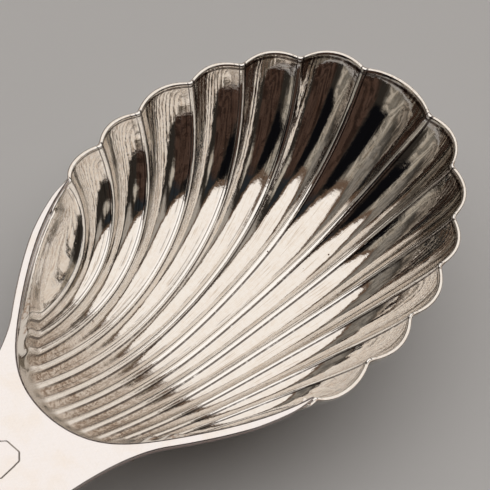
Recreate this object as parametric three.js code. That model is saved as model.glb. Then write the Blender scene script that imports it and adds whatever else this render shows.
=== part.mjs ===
// A silver caddy spoon: a deep shell-shaped bowl with fifteen flutes, a flat handle whose yoke runs round the
// back of the bowl, and the fillet of hard solder under the yoke. Sizes are in millimetres.
//
// The spoon is first made with its rim flat in the plane z = 0: x runs from the heel of the bowl, at x = 0,
// to the lobed tip, and y runs across. At the end it is laid down as it rests on a table, on the belly of the
// bowl and the end of the handle, with the origin under the middle of it.

import * as THREE from 'three';

// Driving dimensions: outline of the bowl at its rim
const heelHalfLength = 25;
const tipHalfLength = 21.75;
const bowlHalfWidth = 15.9;
const heelSlimming = 0.76;

// Driving dimensions: the bowl's depth. The floor breadth sets how far the floor reaches out before the walls
// rise, 2 being an even bowl, the wall exponent how steep the walls stand at the rim, and the end rise how much
// shallower the bowl is towards the heel and the tip than at its middle.
const bowlDepth = 11.95;
const floorBreadth = 2.8;
const wallExponent = 0.86;
const endRise = 0.33;

// Driving dimensions: flutes. A notch angle is measured round the outline from the tip, in degrees, from the
// middle flute outwards, on the left (+y) or the right side. Each crest between two flutes starts at the heel,
// one pitch from the next.
const leftNotchAngles = [14, 34.6, 51.8, 66.9, 83, 95.5, 106.2];
const rightNotchAngles = [14.3, 34.1, 50.9, 66, 81.8, 96.4, 110.2];
const heelPitch = 1.41;
const fluteDepthShare = 0.155;
const tipFluteDepthShare = 0.113;
const sideCoveDepthShare = 0.075;
const coveStart = 0.8;
const coveLength = 1.4;
const lastLobeGap = 0.35;

// Driving dimensions: the path of the crests, seen from above. A crest runs nearly straight down the bowl
// from the heel and then swings out to its notch. A pull is how far it keeps its direction at that end, and
// a turn is that direction in degrees, 0 being straight along the spoon.
const middlePull = 41.6;
const sidePull = 12;
const sideSpread = 15.3;
const straightCrestShare = 0.3;
const rimPull = 2.24;
const rimPullLoss = 0.57;
const middleRimTurn = -1.6;
const rimTurn = 122;

// Driving dimensions: sheet. Near its border the bowl's sheet turns level, so that the rim and the seam end
// in a flat edge: a share of a flute's length at its ends, and of its width along the seam.
const bowlSheet = 0.45;
const handleSheet = 0.6;
const armEndSheet = 0.3;
const levelLengthShare = 0.057;
const levelWidthShare = 0.62;

// Driving dimensions: the solder under the yoke
const solderGap = 0.1;
const solderLeg = 0.8;
const solderEndShare = 0.4;
const solderHalfSpan = 7.5;

// Driving dimensions: handle
const armWidth = 0.8;
const armEndWidth = 0.45;
const armEndGap = 0.1;
const armTaperShare = 0.4;
const shoulderX = 5;
const shoulderPull = 5;
const stemStartX = -4;
const waistX = -15;
const waistPull = 7;
const yokeRootShare = 0.35;
const waistHalfWidth = 4.9;
const endHalfWidth = 6.6;
const endRoundLength = 6.5;
const endFlatShare = 0.12;
const handleLength = 38;
const bendStartX = -9;
const bendRadius = 60;

// How finely the surfaces are divided. The rows of a flute crowd towards its two ends.
const stripsPerFlute = 6;
const rowsAlongFlute = 18;
const rowCrowding = 0.6;
const armSteps = 22;
const stemColumns = 10;
const yokeRows = 2;
const stemRows = 18;
const stemCrowding = 1.5;
const solderSteps = 24;

const silver = { color: 0xd9d6d0, metalness: 1, roughness: 0.16 };
const satinSilver = { color: 0xdedbd5, metalness: 1, roughness: 0.24 };
const solderSilver = { color: 0xc9c6c0, metalness: 1, roughness: 0.34 };

const crestsPerSide = leftNotchAngles.length;
const fluteCount = 2 * crestsPerSide + 1;
const radians = THREE.MathUtils.degToRad;
const lerp = THREE.MathUtils.lerp;

// Half width of the outline as a share of a plain ellipse: the heel is a little slimmer than the tip
function slimming(along) {
  return along < 0 ? 1 - heelSlimming * along ** 4 * (1 - along ** 2) : 1;
}

// Point of the rim outline at an angle round it: 0 at the tip, pi at the heel
function outlinePoint(angle) {
  const along = Math.cos(angle);
  const reach = along < 0 ? heelHalfLength : tipHalfLength;
  const y = bowlHalfWidth * slimming(along) * Math.sin(angle);
  return new THREE.Vector3(heelHalfLength + reach * along, y, 0);
}

// Direction square to the outline, pointing out of the bowl
function outlineNormal(angle) {
  const step = 1e-4;
  const along = outlinePoint(angle + step).sub(outlinePoint(angle - step));
  return new THREE.Vector3(along.y, -along.x, 0).normalize();
}

// Depth of the crests below the rim at a place in the bowl
function crestDepth(x, y) {
  const fromMiddle = x - heelHalfLength;
  const along = fromMiddle / (fromMiddle < 0 ? heelHalfLength : tipHalfLength);
  const across = y / (bowlHalfWidth * slimming(along));
  const inside = Math.max(0, 1 - Math.hypot(along, across) ** floorBreadth);
  return bowlDepth * inside ** wallExponent * (1 - endRise * (fromMiddle / heelHalfLength) ** 2);
}

// The outline from the heel round to the tip, on the +y side
class HeelToTip extends THREE.Curve {
  getPoint(t, target = new THREE.Vector3()) {
    return target.copy(outlinePoint(Math.PI * (1 - t)));
  }
}

const heelToTip = new HeelToTip();
heelToTip.arcLengthDivisions = 800;
const halfRimLength = heelToTip.getLength();

// Angle of the outline point at a length along the rim from the heel
function angleAtRimLength(length) {
  return Math.PI * (1 - heelToTip.getUtoTmapping(length / halfRimLength));
}

// A crest, laid out on the +y side: number 1 is next to the middle flute, the last is next to the yoke
class Crest extends THREE.Curve {
  constructor(number, notchAngles) {
    super();
    this.arcLengthDivisions = 400;
    const share = (number - 0.5) / (crestsPerSide - 0.5);
    const start = outlinePoint(angleAtRimLength(heelPitch * (number - 0.5)));
    const notch = outlinePoint(radians(notchAngles[number - 1]));
    const startTurn = radians(sideSpread * share * (share - straightCrestShare));
    const pull = lerp(middlePull, sidePull, share);
    const endTurn = radians(middleRimTurn + rimTurn * share);
    const endPull = rimPull - rimPullLoss * share;
    const first = new THREE.Vector3(Math.cos(startTurn), Math.sin(startTurn), 0).multiplyScalar(pull);
    const last = new THREE.Vector3(Math.cos(endTurn), Math.sin(endTurn), 0).multiplyScalar(endPull);
    this.plan = new THREE.CubicBezierCurve3(start, start.clone().add(first), notch.clone().sub(last), notch);
  }

  getPoint(t, target = new THREE.Vector3()) {
    this.plan.getPoint(t, target);
    target.z = -crestDepth(target.x, target.y);
    return target;
  }
}

const lastCrestStart = angleAtRimLength(heelPitch * crestsPerSide);

// Angle of the outline point at a distance past the last notch of a side, towards the heel
function pastLastNotch(notchAngles, distance) {
  return radians(notchAngles[crestsPerSide - 1]) + distance / bowlHalfWidth;
}

// The outer border of the bowl's first and last flute, along the seam of the yoke, laid out on the +y side
class SeamBorder extends THREE.Curve {
  constructor(notchAngles) {
    super();
    this.endAngle = pastLastNotch(notchAngles, lastLobeGap);
  }

  getPoint(t, target = new THREE.Vector3()) {
    return target.copy(outlinePoint(lerp(lastCrestStart, this.endAngle, t)));
  }
}

// The same curve on the -y side of the spoon
function mirrored(curve) {
  const twin = new THREE.Curve();
  twin.arcLengthDivisions = curve.arcLengthDivisions;
  twin.getPoint = (t, target = new THREE.Vector3()) => {
    curve.getPoint(t, target);
    target.y = -target.y;
    return target;
  };
  return twin;
}

// The guide curves in order across the bowl, from the border on the +y side to the one on the -y side
function sideCurves(notchAngles) {
  const curves = [new SeamBorder(notchAngles)];
  for (let number = crestsPerSide; number >= 1; number -= 1) curves.push(new Crest(number, notchAngles));
  return curves;
}

const rightCurves = sideCurves(rightNotchAngles).map(mirrored);
const guideCurves = [...sideCurves(leftNotchAngles), ...rightCurves.toReversed()];

// Point of the smooth surface through the guide curves: across counts them from the +y side, and along is the
// share of their length from the heel
function guideSurface(across, along) {
  const flute = Math.min(Math.floor(across), fluteCount - 1);
  const share = across - flute;
  const at = (index) => guideCurves[THREE.MathUtils.clamp(index, 0, fluteCount)].getPointAt(along);
  const [before, left, right, after] = [at(flute - 1), at(flute), at(flute + 1), at(flute + 2)];
  const point = new THREE.Vector3();
  for (const axis of ['x', 'y', 'z']) {
    const leaving = flute === 0 ? right[axis] - left[axis] : (right[axis] - before[axis]) / 2;
    const arriving = flute === fluteCount - 1 ? right[axis] - left[axis] : (after[axis] - left[axis]) / 2;
    const square = share * share;
    const cube = square * share;
    point[axis] = (2 * cube - 3 * square + 1) * left[axis] + (cube - 2 * square + share) * leaving
      + (3 * square - 2 * cube) * right[axis] + (cube - square) * arriving;
  }
  return point;
}

// Direction out of the bowl, square to the guide surface and level at its border
function outwardDirection(across, along) {
  const step = 0.004;
  const a = Math.max(across - step, 0);
  const b = Math.min(across + step, fluteCount);
  const c = Math.max(along - step, 0);
  const d = Math.min(along + step, 1);
  const sideways = guideSurface(b, along).sub(guideSurface(a, along));
  const lengthways = guideSurface(across, d).sub(guideSurface(across, c));
  const outward = lengthways.cross(sideways).normalize();
  const toSide = Math.min(across, fluteCount - across);
  const toEnd = Math.min(along, 1 - along);
  outward.z *= Math.min(toEnd / levelLengthShare, toSide / levelWidthShare, 1);
  return outward.normalize();
}

// How deep a flute is hollowed below the guide surface
function fluteHollow(across, along) {
  const flute = Math.min(Math.floor(across), fluteCount - 1);
  const share = across - flute;
  const left = guideCurves[flute].getPointAt(along);
  const width = left.distanceTo(guideCurves[flute + 1].getPointAt(along));
  const fromMiddle = Math.abs(flute - crestsPerSide);
  const isSide = fromMiddle === crestsPerSide;
  const plain = fromMiddle === 0 ? tipFluteDepthShare : fluteDepthShare;
  const depthShare = isSide ? sideCoveDepthShare : plain;
  const fromHeel = along * guideCurves[flute].getLength();
  const start = THREE.MathUtils.smoothstep(fromHeel, coveStart, coveStart + coveLength);
  return width * depthShare * 4 * share * (1 - share) * start;
}

// A closed solid from an open sheet: top and bottom hold one point each per vertex of the sheet, and the
// edge is walled all round. Faces are counter-clockwise seen from the top side.
function thickSheet(top, bottom, faces) {
  const positions = [];
  for (const point of [...top, ...bottom]) positions.push(point.x, point.y, point.z);
  const count = top.length;
  const triangles = [];
  const edges = new Map();
  for (const [a, b, c] of faces) {
    triangles.push(a, b, c, count + a, count + c, count + b);
    for (const [from, to] of [[a, b], [b, c], [c, a]]) {
      if (!edges.delete(`${to},${from}`)) edges.set(`${from},${to}`, [from, to]);
    }
  }
  for (const [from, to] of edges.values()) {
    triangles.push(to, from, count + from, to, count + from, count + to);
  }
  const geometry = new THREE.BufferGeometry();
  geometry.setAttribute('position', new THREE.Float32BufferAttribute(positions, 3));
  geometry.setIndex(triangles);
  geometry.computeVertexNormals();
  return geometry;
}

// Two triangles for each cell of a grid, given the index of the vertex at a column and row
function gridFaces(columns, rows, indexAt) {
  const faces = [];
  for (let column = 0; column < columns; column += 1) {
    for (let row = 0; row < rows; row += 1) {
      const corners = [indexAt(column, row), indexAt(column + 1, row)];
      corners.push(indexAt(column + 1, row + 1), indexAt(column, row + 1));
      faces.push([corners[0], corners[1], corners[2]], [corners[0], corners[2], corners[3]]);
    }
  }
  return faces;
}

function makeBowl() {
  const columns = fluteCount * stripsPerFlute;
  const inside = [];
  const outside = [];
  for (let column = 0; column <= columns; column += 1) {
    const across = column / stripsPerFlute;
    for (let row = 0; row <= rowsAlongFlute; row += 1) {
      const evenly = row / rowsAlongFlute;
      const along = lerp(evenly, (1 - Math.cos(Math.PI * evenly)) / 2, rowCrowding);
      const outward = outwardDirection(across, along);
      const hollow = fluteHollow(across, along);
      const base = guideSurface(across, along);
      inside.push(base.clone().addScaledVector(outward, hollow));
      outside.push(base.clone().addScaledVector(outward, hollow + bowlSheet));
    }
  }
  const faces = gridFaces(columns, rowsAlongFlute, (column, row) => column * (rowsAlongFlute + 1) + row);
  return thickSheet(inside, outside, faces);
}

// Outer edge of the handle on the +y side, from the end of the arm to the start of the stem
const shoulderAngle = Math.PI - Math.acos(1 - shoulderX / heelHalfLength);
const shoulderStart = outlinePoint(shoulderAngle).addScaledVector(outlineNormal(shoulderAngle), armWidth);
const shoulderTangent = outlineNormal(shoulderAngle).applyAxisAngle(new THREE.Vector3(0, 0, 1), Math.PI / 2);
const shoulder = new THREE.CubicBezierCurve3(
  shoulderStart,
  shoulderStart.clone().addScaledVector(shoulderTangent, shoulderPull),
  new THREE.Vector3(waistX + waistPull, waistHalfWidth, 0),
  new THREE.Vector3(waistX, waistHalfWidth, 0),
);
const endStartX = endRoundLength - handleLength;
const swell = new THREE.CubicBezierCurve3(
  new THREE.Vector3(waistX, waistHalfWidth, 0),
  new THREE.Vector3(lerp(waistX, endStartX, 0.4), waistHalfWidth, 0),
  new THREE.Vector3(lerp(waistX, endStartX, 0.6), endHalfWidth, 0),
  new THREE.Vector3(endStartX, endHalfWidth, 0),
);

// Curve parameter at which a curve that runs towards -x reaches a given x
function parameterAtX(curve, x) {
  let low = 0;
  let high = 1;
  for (let step = 0; step < 40; step += 1) {
    const middle = (low + high) / 2;
    if (curve.getPoint(middle).x > x) low = middle;
    else high = middle;
  }
  return (low + high) / 2;
}

// Half width of the stem at x
function stemHalfWidth(x) {
  if (x > waistX) return shoulder.getPoint(parameterAtX(shoulder, x)).y;
  if (x > endStartX) return swell.getPoint(parameterAtX(swell, x)).y;
  const beyond = (endStartX - x) / endRoundLength;
  return endHalfWidth * Math.sqrt(Math.max(0, 1 - beyond * beyond));
}

// The handle is bent down towards its end, on a circle that starts level
function bent(point) {
  const beyond = bendStartX - point.x;
  if (beyond <= 0) return point;
  const turn = beyond / bendRadius;
  const radius = bendRadius + point.z;
  const x = bendStartX - radius * Math.sin(turn);
  return new THREE.Vector3(x, point.y, radius * Math.cos(turn) - bendRadius);
}

// The arms of the yoke are hammered thinner towards their ends
function handleThickness(angle, endAngle) {
  const share = THREE.MathUtils.clamp((shoulderAngle - angle) / (shoulderAngle - endAngle), 0, 1);
  return lerp(handleSheet, armEndSheet, share * share);
}

function makeHandle() {
  const top = [];
  const bottom = [];
  const addPoint = (x, y, thickness) => {
    bottom.push(bent(new THREE.Vector3(x, y, solderGap)));
    top.push(bent(new THREE.Vector3(x, y, solderGap + thickness)));
    return top.length - 1;
  };

  // The yoke: a ribbon from the seam out to the edge, round one arm, the back of the bowl and the other arm
  const stemParameter = parameterAtX(shoulder, stemStartX);
  const columns = 2 * armSteps + stemColumns;
  const shoulderSteps = Math.round(armSteps / 3);
  const straightSteps = armSteps - shoulderSteps;
  const stemStartHalfWidth = stemHalfWidth(stemStartX);
  const rootAngle = lerp(shoulderAngle, Math.PI, yokeRootShare);
  const yokeEdges = (column) => {
    const side = column > columns / 2 ? -1 : 1;
    const step = Math.min(column, columns - column);
    const endAngle = pastLastNotch(side > 0 ? leftNotchAngles : rightNotchAngles, armEndGap);
    let angle = 0;
    let outer = null;
    if (step <= straightSteps) {
      const share = step / straightSteps;
      angle = lerp(endAngle, shoulderAngle, share);
      const width = lerp(armEndWidth, armWidth, Math.min(1, share / armTaperShare));
      outer = outlinePoint(angle).addScaledVector(outlineNormal(angle), width);
    } else if (step <= armSteps) {
      const share = (step - straightSteps) / shoulderSteps;
      angle = lerp(shoulderAngle, rootAngle, share);
      outer = shoulder.getPoint(stemParameter * share);
    } else {
      const share = (step - armSteps) / (stemColumns / 2);
      angle = lerp(rootAngle, Math.PI, share);
      outer = new THREE.Vector3(stemStartX, stemStartHalfWidth * (1 - share), 0);
    }
    const inner = outlinePoint(angle);
    inner.y *= side;
    outer.y *= side;
    return { inner, outer, thickness: handleThickness(angle, endAngle) };
  };
  for (let column = 0; column <= columns; column += 1) {
    const { inner, outer, thickness } = yokeEdges(column);
    for (let row = 0; row <= yokeRows; row += 1) {
      const point = inner.clone().lerp(outer, row / yokeRows);
      addPoint(point.x, point.y, thickness);
    }
  }
  const yokeIndex = (column, row) => column * (yokeRows + 1) + row;
  const faces = gridFaces(yokeRows, columns, (row, column) => yokeIndex(column, row));

  // The stem, from the edge of the yoke to the rounded end
  const stemIndexes = [];
  for (let row = 0; row <= stemRows; row += 1) {
    const share = row / stemRows;
    const x = lerp(stemStartX, -handleLength, 1 - (1 - share) ** stemCrowding);
    const halfWidth = row === stemRows ? endHalfWidth * endFlatShare : stemHalfWidth(x);
    const indexes = [];
    for (let column = 0; column <= stemColumns; column += 1) {
      const y = halfWidth * (1 - 2 * column / stemColumns);
      indexes.push(row === 0 ? yokeIndex(armSteps + column, yokeRows) : addPoint(x, y, handleSheet));
    }
    stemIndexes.push(indexes);
  }
  faces.push(...gridFaces(stemRows, stemColumns, (row, column) => stemIndexes[row][column]));
  return thickSheet(top, bottom, faces);
}

// The solder: a three-cornered fillet in the corner between the underside of the yoke and the bowl's wall
function makeSolder() {
  const positions = [];
  const triangles = [];
  const endAngle = angleAtRimLength(solderHalfSpan);
  for (let step = 0; step <= solderSteps; step += 1) {
    const share = 2 * step / solderSteps - 1;
    const angle = lerp(Math.PI, endAngle, Math.abs(share));
    const side = share < 0 ? -1 : 1;
    const corner = outlinePoint(angle);
    const normal = outlineNormal(angle);
    corner.y *= side;
    normal.y *= side;
    const leg = solderLeg * lerp(1, solderEndShare, share * share);
    const near = bowlSheet + solderGap;
    for (const [out, down] of [[near, 0], [near + leg, 0], [near, leg]]) {
      positions.push(corner.x + normal.x * out, corner.y + normal.y * out, -down);
    }
    if (step === 0) continue;
    const last = 3 * step;
    for (const [a, b] of [[0, 1], [1, 2], [2, 0]]) {
      triangles.push(last - 3 + a, last + b, last - 3 + b, last - 3 + a, last + a, last + b);
    }
  }
  const end = 3 * solderSteps;
  triangles.push(0, 1, 2, end, end + 2, end + 1);
  const geometry = new THREE.BufferGeometry();
  geometry.setAttribute('position', new THREE.Float32BufferAttribute(positions, 3));
  geometry.setIndex(triangles);
  geometry.computeVertexNormals();
  return geometry;
}

function namedMesh(name, geometry, finish) {
  const mesh = new THREE.Mesh(geometry, new THREE.MeshStandardMaterial(finish));
  mesh.name = name;
  return mesh;
}

// Height of the lowest point of a mesh when the spoon is turned by an angle about the y axis
function lowestPoint(mesh, turn) {
  const position = mesh.geometry.getAttribute('position');
  let lowest = Infinity;
  for (let index = 0; index < position.count; index += 1) {
    const height = position.getZ(index) * Math.cos(turn) - position.getX(index) * Math.sin(turn);
    lowest = Math.min(lowest, height);
  }
  return lowest;
}

// The turn at which the belly of the bowl and the end of the handle touch the table together
function restingTurn(bowl, handle) {
  let low = radians(-40);
  let high = radians(20);
  for (let step = 0; step < 50; step += 1) {
    const middle = (low + high) / 2;
    if (lowestPoint(handle, middle) > lowestPoint(bowl, middle)) high = middle;
    else low = middle;
  }
  return (low + high) / 2;
}

const bowl = namedMesh('shell_bowl', makeBowl(), silver);
const handle = namedMesh('handle', makeHandle(), satinSilver);
const solder = namedMesh('heel_solder', makeSolder(), solderSilver);

const spoon = new THREE.Group();
spoon.add(bowl, handle, solder);
spoon.rotation.y = restingTurn(bowl, handle);

const part = new THREE.Group();
part.add(spoon);
part.updateMatrixWorld(true);
const bounds = new THREE.Box3().setFromObject(part, true);
spoon.position.set(-(bounds.min.x + bounds.max.x) / 2, -(bounds.min.y + bounds.max.y) / 2, -bounds.min.z);
part.updateMatrixWorld(true);

export default part;
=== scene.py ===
"""A silver caddy spoon with a shell-shaped bowl, dressed for the camera.

The solids of the frame are replaced by finer skins of the same three pieces: the fluted bowl, the handle
whose yoke runs round the back of the bowl, and the solder under the yoke. They follow the solids' sizes, a
hair inside them. Sizes are in millimetres in the spoon's own frame, where the rim of the bowl is level at
height 0, x runs from the heel to the tip and y runs across. Finished meshes are in metres, laid down as the
spoon rests on a table.
"""

import logging
import math
from dataclasses import dataclass, field
from enum import Enum
from typing import Sequence, Union

import bpy
import numpy as np
from mathutils import Matrix, Vector


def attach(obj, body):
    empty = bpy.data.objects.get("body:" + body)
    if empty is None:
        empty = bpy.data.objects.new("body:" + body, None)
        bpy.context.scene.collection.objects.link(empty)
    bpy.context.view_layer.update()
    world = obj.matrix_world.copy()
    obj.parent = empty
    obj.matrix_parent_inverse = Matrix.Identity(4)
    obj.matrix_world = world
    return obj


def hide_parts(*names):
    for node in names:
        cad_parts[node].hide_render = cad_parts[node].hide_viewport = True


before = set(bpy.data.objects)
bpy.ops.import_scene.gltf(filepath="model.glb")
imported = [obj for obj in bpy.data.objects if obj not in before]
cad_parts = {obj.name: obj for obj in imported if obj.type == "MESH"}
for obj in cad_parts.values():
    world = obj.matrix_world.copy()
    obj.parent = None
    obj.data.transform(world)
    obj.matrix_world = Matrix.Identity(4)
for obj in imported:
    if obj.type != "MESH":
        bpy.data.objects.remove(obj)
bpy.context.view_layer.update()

LOG = logging.getLogger("caddy_spoon")
MM = 0.001
BODY = "root"
SHELL_PLACE = "shell_place"
FLUTE_WIDTH = "flute_width"
RIM_DISTANCE = "rim_distance"
SEAM_DISTANCE = "seam_distance"
CURVE_SAMPLES = 4001
OUTLINE_SAMPLES = 8001
ANGLE_STEP = 1e-4
MERGE_DISTANCE = 1e-7
QUARTER_TURN = math.pi / 2

Array = np.ndarray
Point = tuple[float, float, float]
Colour = tuple[float, float, float]
Span = tuple[float, float]
Band = tuple[float, float, float, float]
Faces = list[tuple[int, ...]]
Operand = Union["Field", float, Sequence[float]]


class Slot(Enum):
    """The record's material slots, one for each kind of silver."""

    BOWL = "bowl_silver"
    HANDLE = "handle_silver"
    SOLDER = "solder_silver"


class Node(Enum):
    """The frame's nodes that a finer piece stands for."""

    BOWL = "shell_bowl"
    HANDLE = "handle"
    SOLDER = "heel_solder"


@dataclass(frozen=True)
class Grain:
    """A soft noise: the size of its grains, how many finer layers it has, and how far it is stirred."""

    size: float
    detail: float = 2.0
    distortion: float = 0.0


class Field:
    """A value in a node tree, which plain arithmetic carries on into further nodes."""

    def __init__(self, tree: bpy.types.NodeTree, socket: bpy.types.NodeSocket) -> None:
        """Wraps one output socket, with the tree that further nodes go into."""
        self.tree = tree
        self.socket = socket

    def apply(self, operation: str, *others: Operand) -> "Field":
        """One more math node on this value.

        Args:
            operation: the math node's operation.
            others: the node's other operands.

        Returns:
            The node's result.
        """
        operands = (self, *others)
        is_vector = any(isinstance(o, Field) and o.socket.type == "VECTOR" for o in operands)
        if is_vector:
            operands = tuple((o,) * 3 if isinstance(o, (int, float)) else o for o in operands)
        kind = "ShaderNodeVectorMath" if is_vector else "ShaderNodeMath"
        is_number = operation in ("LENGTH", "DOT_PRODUCT", "DISTANCE") and is_vector
        output = "Value" if is_number else 0
        return added(self.tree, kind, dict(enumerate(operands)), output, operation=operation)

    def __add__(self, other: Operand) -> "Field":
        """Sum."""
        return self.apply("ADD", other)

    def __sub__(self, other: Operand) -> "Field":
        """Difference."""
        return self.apply("SUBTRACT", other)

    def __mul__(self, other: Operand) -> "Field":
        """Product."""
        return self.apply("MULTIPLY", other)

    def __truediv__(self, other: Operand) -> "Field":
        """Quotient."""
        return self.apply("DIVIDE", other)

    def __rsub__(self, other: float) -> "Field":
        """Difference from a plain number."""
        return self * -1.0 + other

    __radd__ = __add__
    __rmul__ = __mul__

    def clamped(self) -> "Field":
        """The value held between 0 and 1."""
        return self.apply("MAXIMUM", 0.0).apply("MINIMUM", 1.0)

    def mixed(self, low: Operand, high: Operand) -> Operand:
        """Between two values, with this one as the share of the way."""
        return (high - low) * self + low

    def swing(self, reach: Operand) -> "Field":
        """A pattern that runs from 0 to 1, as a swing to both sides of 0."""
        return (self - 0.5) * reach

    def blended(self, low: Operand, high: Operand) -> "Field":
        """Between two colours, with this value as the share of the way.

        Args:
            low: the colour at 0.
            high: the colour at 1.

        Returns:
            The colour.
        """
        ends = (end if isinstance(end, Field) else (*end, 1.0) for end in (low, high))
        inputs = {0: self} | dict(zip((6, 7), ends))
        return added(self.tree, "ShaderNodeMix", inputs, 2, data_type="RGBA", clamp_factor=True)

    def stepped(self, start: float, end: float) -> "Field":
        """A smooth step from 0 at start to 1 at end."""
        inputs = {"Value": self, "From Min": start, "From Max": end}
        return added(self.tree, "ShaderNodeMapRange", inputs, interpolation_type="SMOOTHSTEP")

    def banded(self, ends: Band) -> "Field":
        """1 between the two middle ends, fading to 0 at the outer ones."""
        return self.stepped(ends[0], ends[1]) * (1.0 - self.stepped(ends[2], ends[3]))

    def part(self, axis: int) -> "Field":
        """One component of a vector: 0, 1 or 2."""
        return added(self.tree, "ShaderNodeSeparateXYZ", {0: self}, axis)

    def noise(self, grain: Grain) -> "Field":
        """Soft noise between 0 and 1, read at this place.

        Args:
            grain: what the noise is like.

        Returns:
            The noise.
        """
        inputs = {"Vector": self, "Scale": 1.0 / grain.size}
        inputs |= {"Detail": grain.detail, "Distortion": grain.distortion}
        return added(self.tree, "ShaderNodeTexNoise", inputs)


def added(
    tree: bpy.types.NodeTree,
    kind: str,
    inputs: dict[Union[str, int], object],
    output: Union[str, int] = 0,
    **settings: object,
) -> Field:
    """A new node with its properties set and its inputs linked or set.

    Args:
        tree: the tree that it goes into.
        kind: the node's type.
        inputs: what goes into each input, by name or number.
        output: the output that is wanted.
        settings: the node's own properties.

    Returns:
        The wanted output.
    """
    node = tree.nodes.new(kind)
    for name, value in settings.items():
        setattr(node, name, value)
    for name, value in inputs.items():
        if isinstance(value, Field):
            tree.links.new(value.socket, node.inputs[name])
        else:
            node.inputs[name].default_value = value
    return Field(tree, node.outputs[output])


def joined_vector(x: Operand, y: Operand, z: Operand) -> Field:
    """A vector from three components, at least one of which is a field."""
    tree = next(part.tree for part in (x, y, z) if isinstance(part, Field))
    return added(tree, "ShaderNodeCombineXYZ", {0: x, 1: y, 2: z})


class GeometryTree:
    """A geometry node tree that is filled in step by step and then baked to a plain mesh."""

    def __init__(self, name: str) -> None:
        """Starts an empty tree.

        Args:
            name: what the tree makes.
        """
        self.tree = bpy.data.node_groups.new(name, "GeometryNodeTree")
        self.tree.interface.new_socket("Geometry", in_out="OUTPUT", socket_type="NodeSocketGeometry")
        self.entry = self.tree.nodes.new("NodeGroupInput")
        self.leaving = self.tree.nodes.new("NodeGroupOutput")
        self.values: dict[str, object] = {}

    def size(self, name: str, value: object, kind: str = "NodeSocketFloat") -> Field:
        """A named input of the tree.

        Args:
            name: the input's name.
            value: what the modifier gives it.
            kind: the socket's type.

        Returns:
            The input as a field.
        """
        socket = self.tree.interface.new_socket(name, in_out="INPUT", socket_type=kind)
        self.values[socket.identifier] = value
        return Field(self.tree, self.entry.outputs[name])

    def sizes(self, owner: object, names: str, unit: float = 1.0) -> list[Field]:
        """Inputs for several sizes of their owner, named in one text, each multiplied by the unit."""
        labels = {name: name.replace("_", " ").capitalize() for name in names.split()}
        return [self.size(label, getattr(owner, name) * unit) for name, label in labels.items()]

    def node(
        self, kind: str, inputs: dict[str, object], output: Union[str, int] = 0, **settings: object
    ) -> Field:
        """One output of a new geometry node, its kind given without the words that all of them start with."""
        return added(self.tree, "GeometryNode" + kind, inputs, output, **settings)

    def baked(self, geometry: Field, material: bpy.types.Material, name: str) -> bpy.types.Object:
        """Ends the tree, runs it once and keeps the result as a plain mesh.

        Args:
            geometry: the finished geometry.
            material: what the mesh is made of.
            name: the new object's name.

        Returns:
            The object, linked to the scene, with no modifier on it.
        """
        chosen = self.size("Material", material, "NodeSocketMaterial")
        real = self.node("RealizeInstances", {"Geometry": geometry})
        dressed = self.node("SetMaterial", {"Geometry": real, "Material": chosen})
        self.tree.links.new(dressed.socket, self.leaving.inputs[0])
        carrier = linked(name + "_maker", bpy.data.meshes.new(name + "_maker"))
        modifier = carrier.modifiers.new("maker", "NODES")
        modifier.node_group = self.tree
        for identifier, value in self.values.items():
            modifier[identifier] = value
        graph = bpy.context.evaluated_depsgraph_get()
        evaluated = carrier.evaluated_get(graph)
        mesh = bpy.data.meshes.new_from_object(evaluated, preserve_all_data_layers=True, depsgraph=graph)
        mesh.name = name
        bpy.data.objects.remove(carrier)
        return linked(name, mesh)


def linked(name: str, data: bpy.types.ID) -> bpy.types.Object:
    """A new object in the scene for a mesh, a curve or a camera.

    Args:
        name: the object's name.
        data: what it shows.

    Returns:
        The object.
    """
    made = bpy.data.objects.new(name, data)
    bpy.context.scene.collection.objects.link(made)
    return made


def curve_object(name: str, lines: Sequence[Array], closed: bool = False) -> bpy.types.Object:
    """A curve object with one straight-segment spline for each line of points.

    Args:
        name: the object's name.
        lines: points of each spline, in millimetres.
        closed: whether the splines run back to their start.

    Returns:
        The object, linked to the scene.
    """
    data = bpy.data.curves.new(name, "CURVE")
    data.dimensions = "3D"
    for line in lines:
        spline = data.splines.new("POLY")
        spline.points.add(len(line) - 1)
        flat = np.ones((len(line), 4), np.float32)
        flat[:, :3] = np.asarray(line) * MM
        spline.points.foreach_set("co", flat.ravel())
        spline.use_cyclic_u = closed
    return linked(name, data)


def bezier(points: Sequence[Sequence[float]], share: Array) -> Array:
    """Points of a cubic curve.

    Args:
        points: its two ends and, between them, its two handles.
        share: how far along, from 0 to 1.

    Returns:
        One point for each share.
    """
    first, leaving, arriving, last = (np.asarray(p, float) for p in points)
    t = np.asarray(share, float)[..., None]
    rest = 1 - t
    return rest**3 * first + 3 * rest**2 * t * leaving + 3 * rest * t**2 * arriving + t**3 * last


@dataclass(frozen=True)
class RestPlacement:
    """How the spoon lies on the table: turned about y, then shifted."""

    turn: float = -5.604786376335042
    shift: Point = (-5.580412001351281, 0.06170845031738281, 10.358829010951473)

    def matrix(self) -> Matrix:
        """From the spoon's own frame, in metres, to the frame of the table."""
        turned = Matrix.Rotation(math.radians(self.turn), 4, "Y")
        return Matrix.Translation(Vector(self.shift) * MM) @ turned

    def lay_down(self, piece: bpy.types.Object) -> None:
        """Moves the mesh of a piece into place, so that its object stays at the origin."""
        piece.data.transform(self.matrix())
        piece.data.update()


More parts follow.
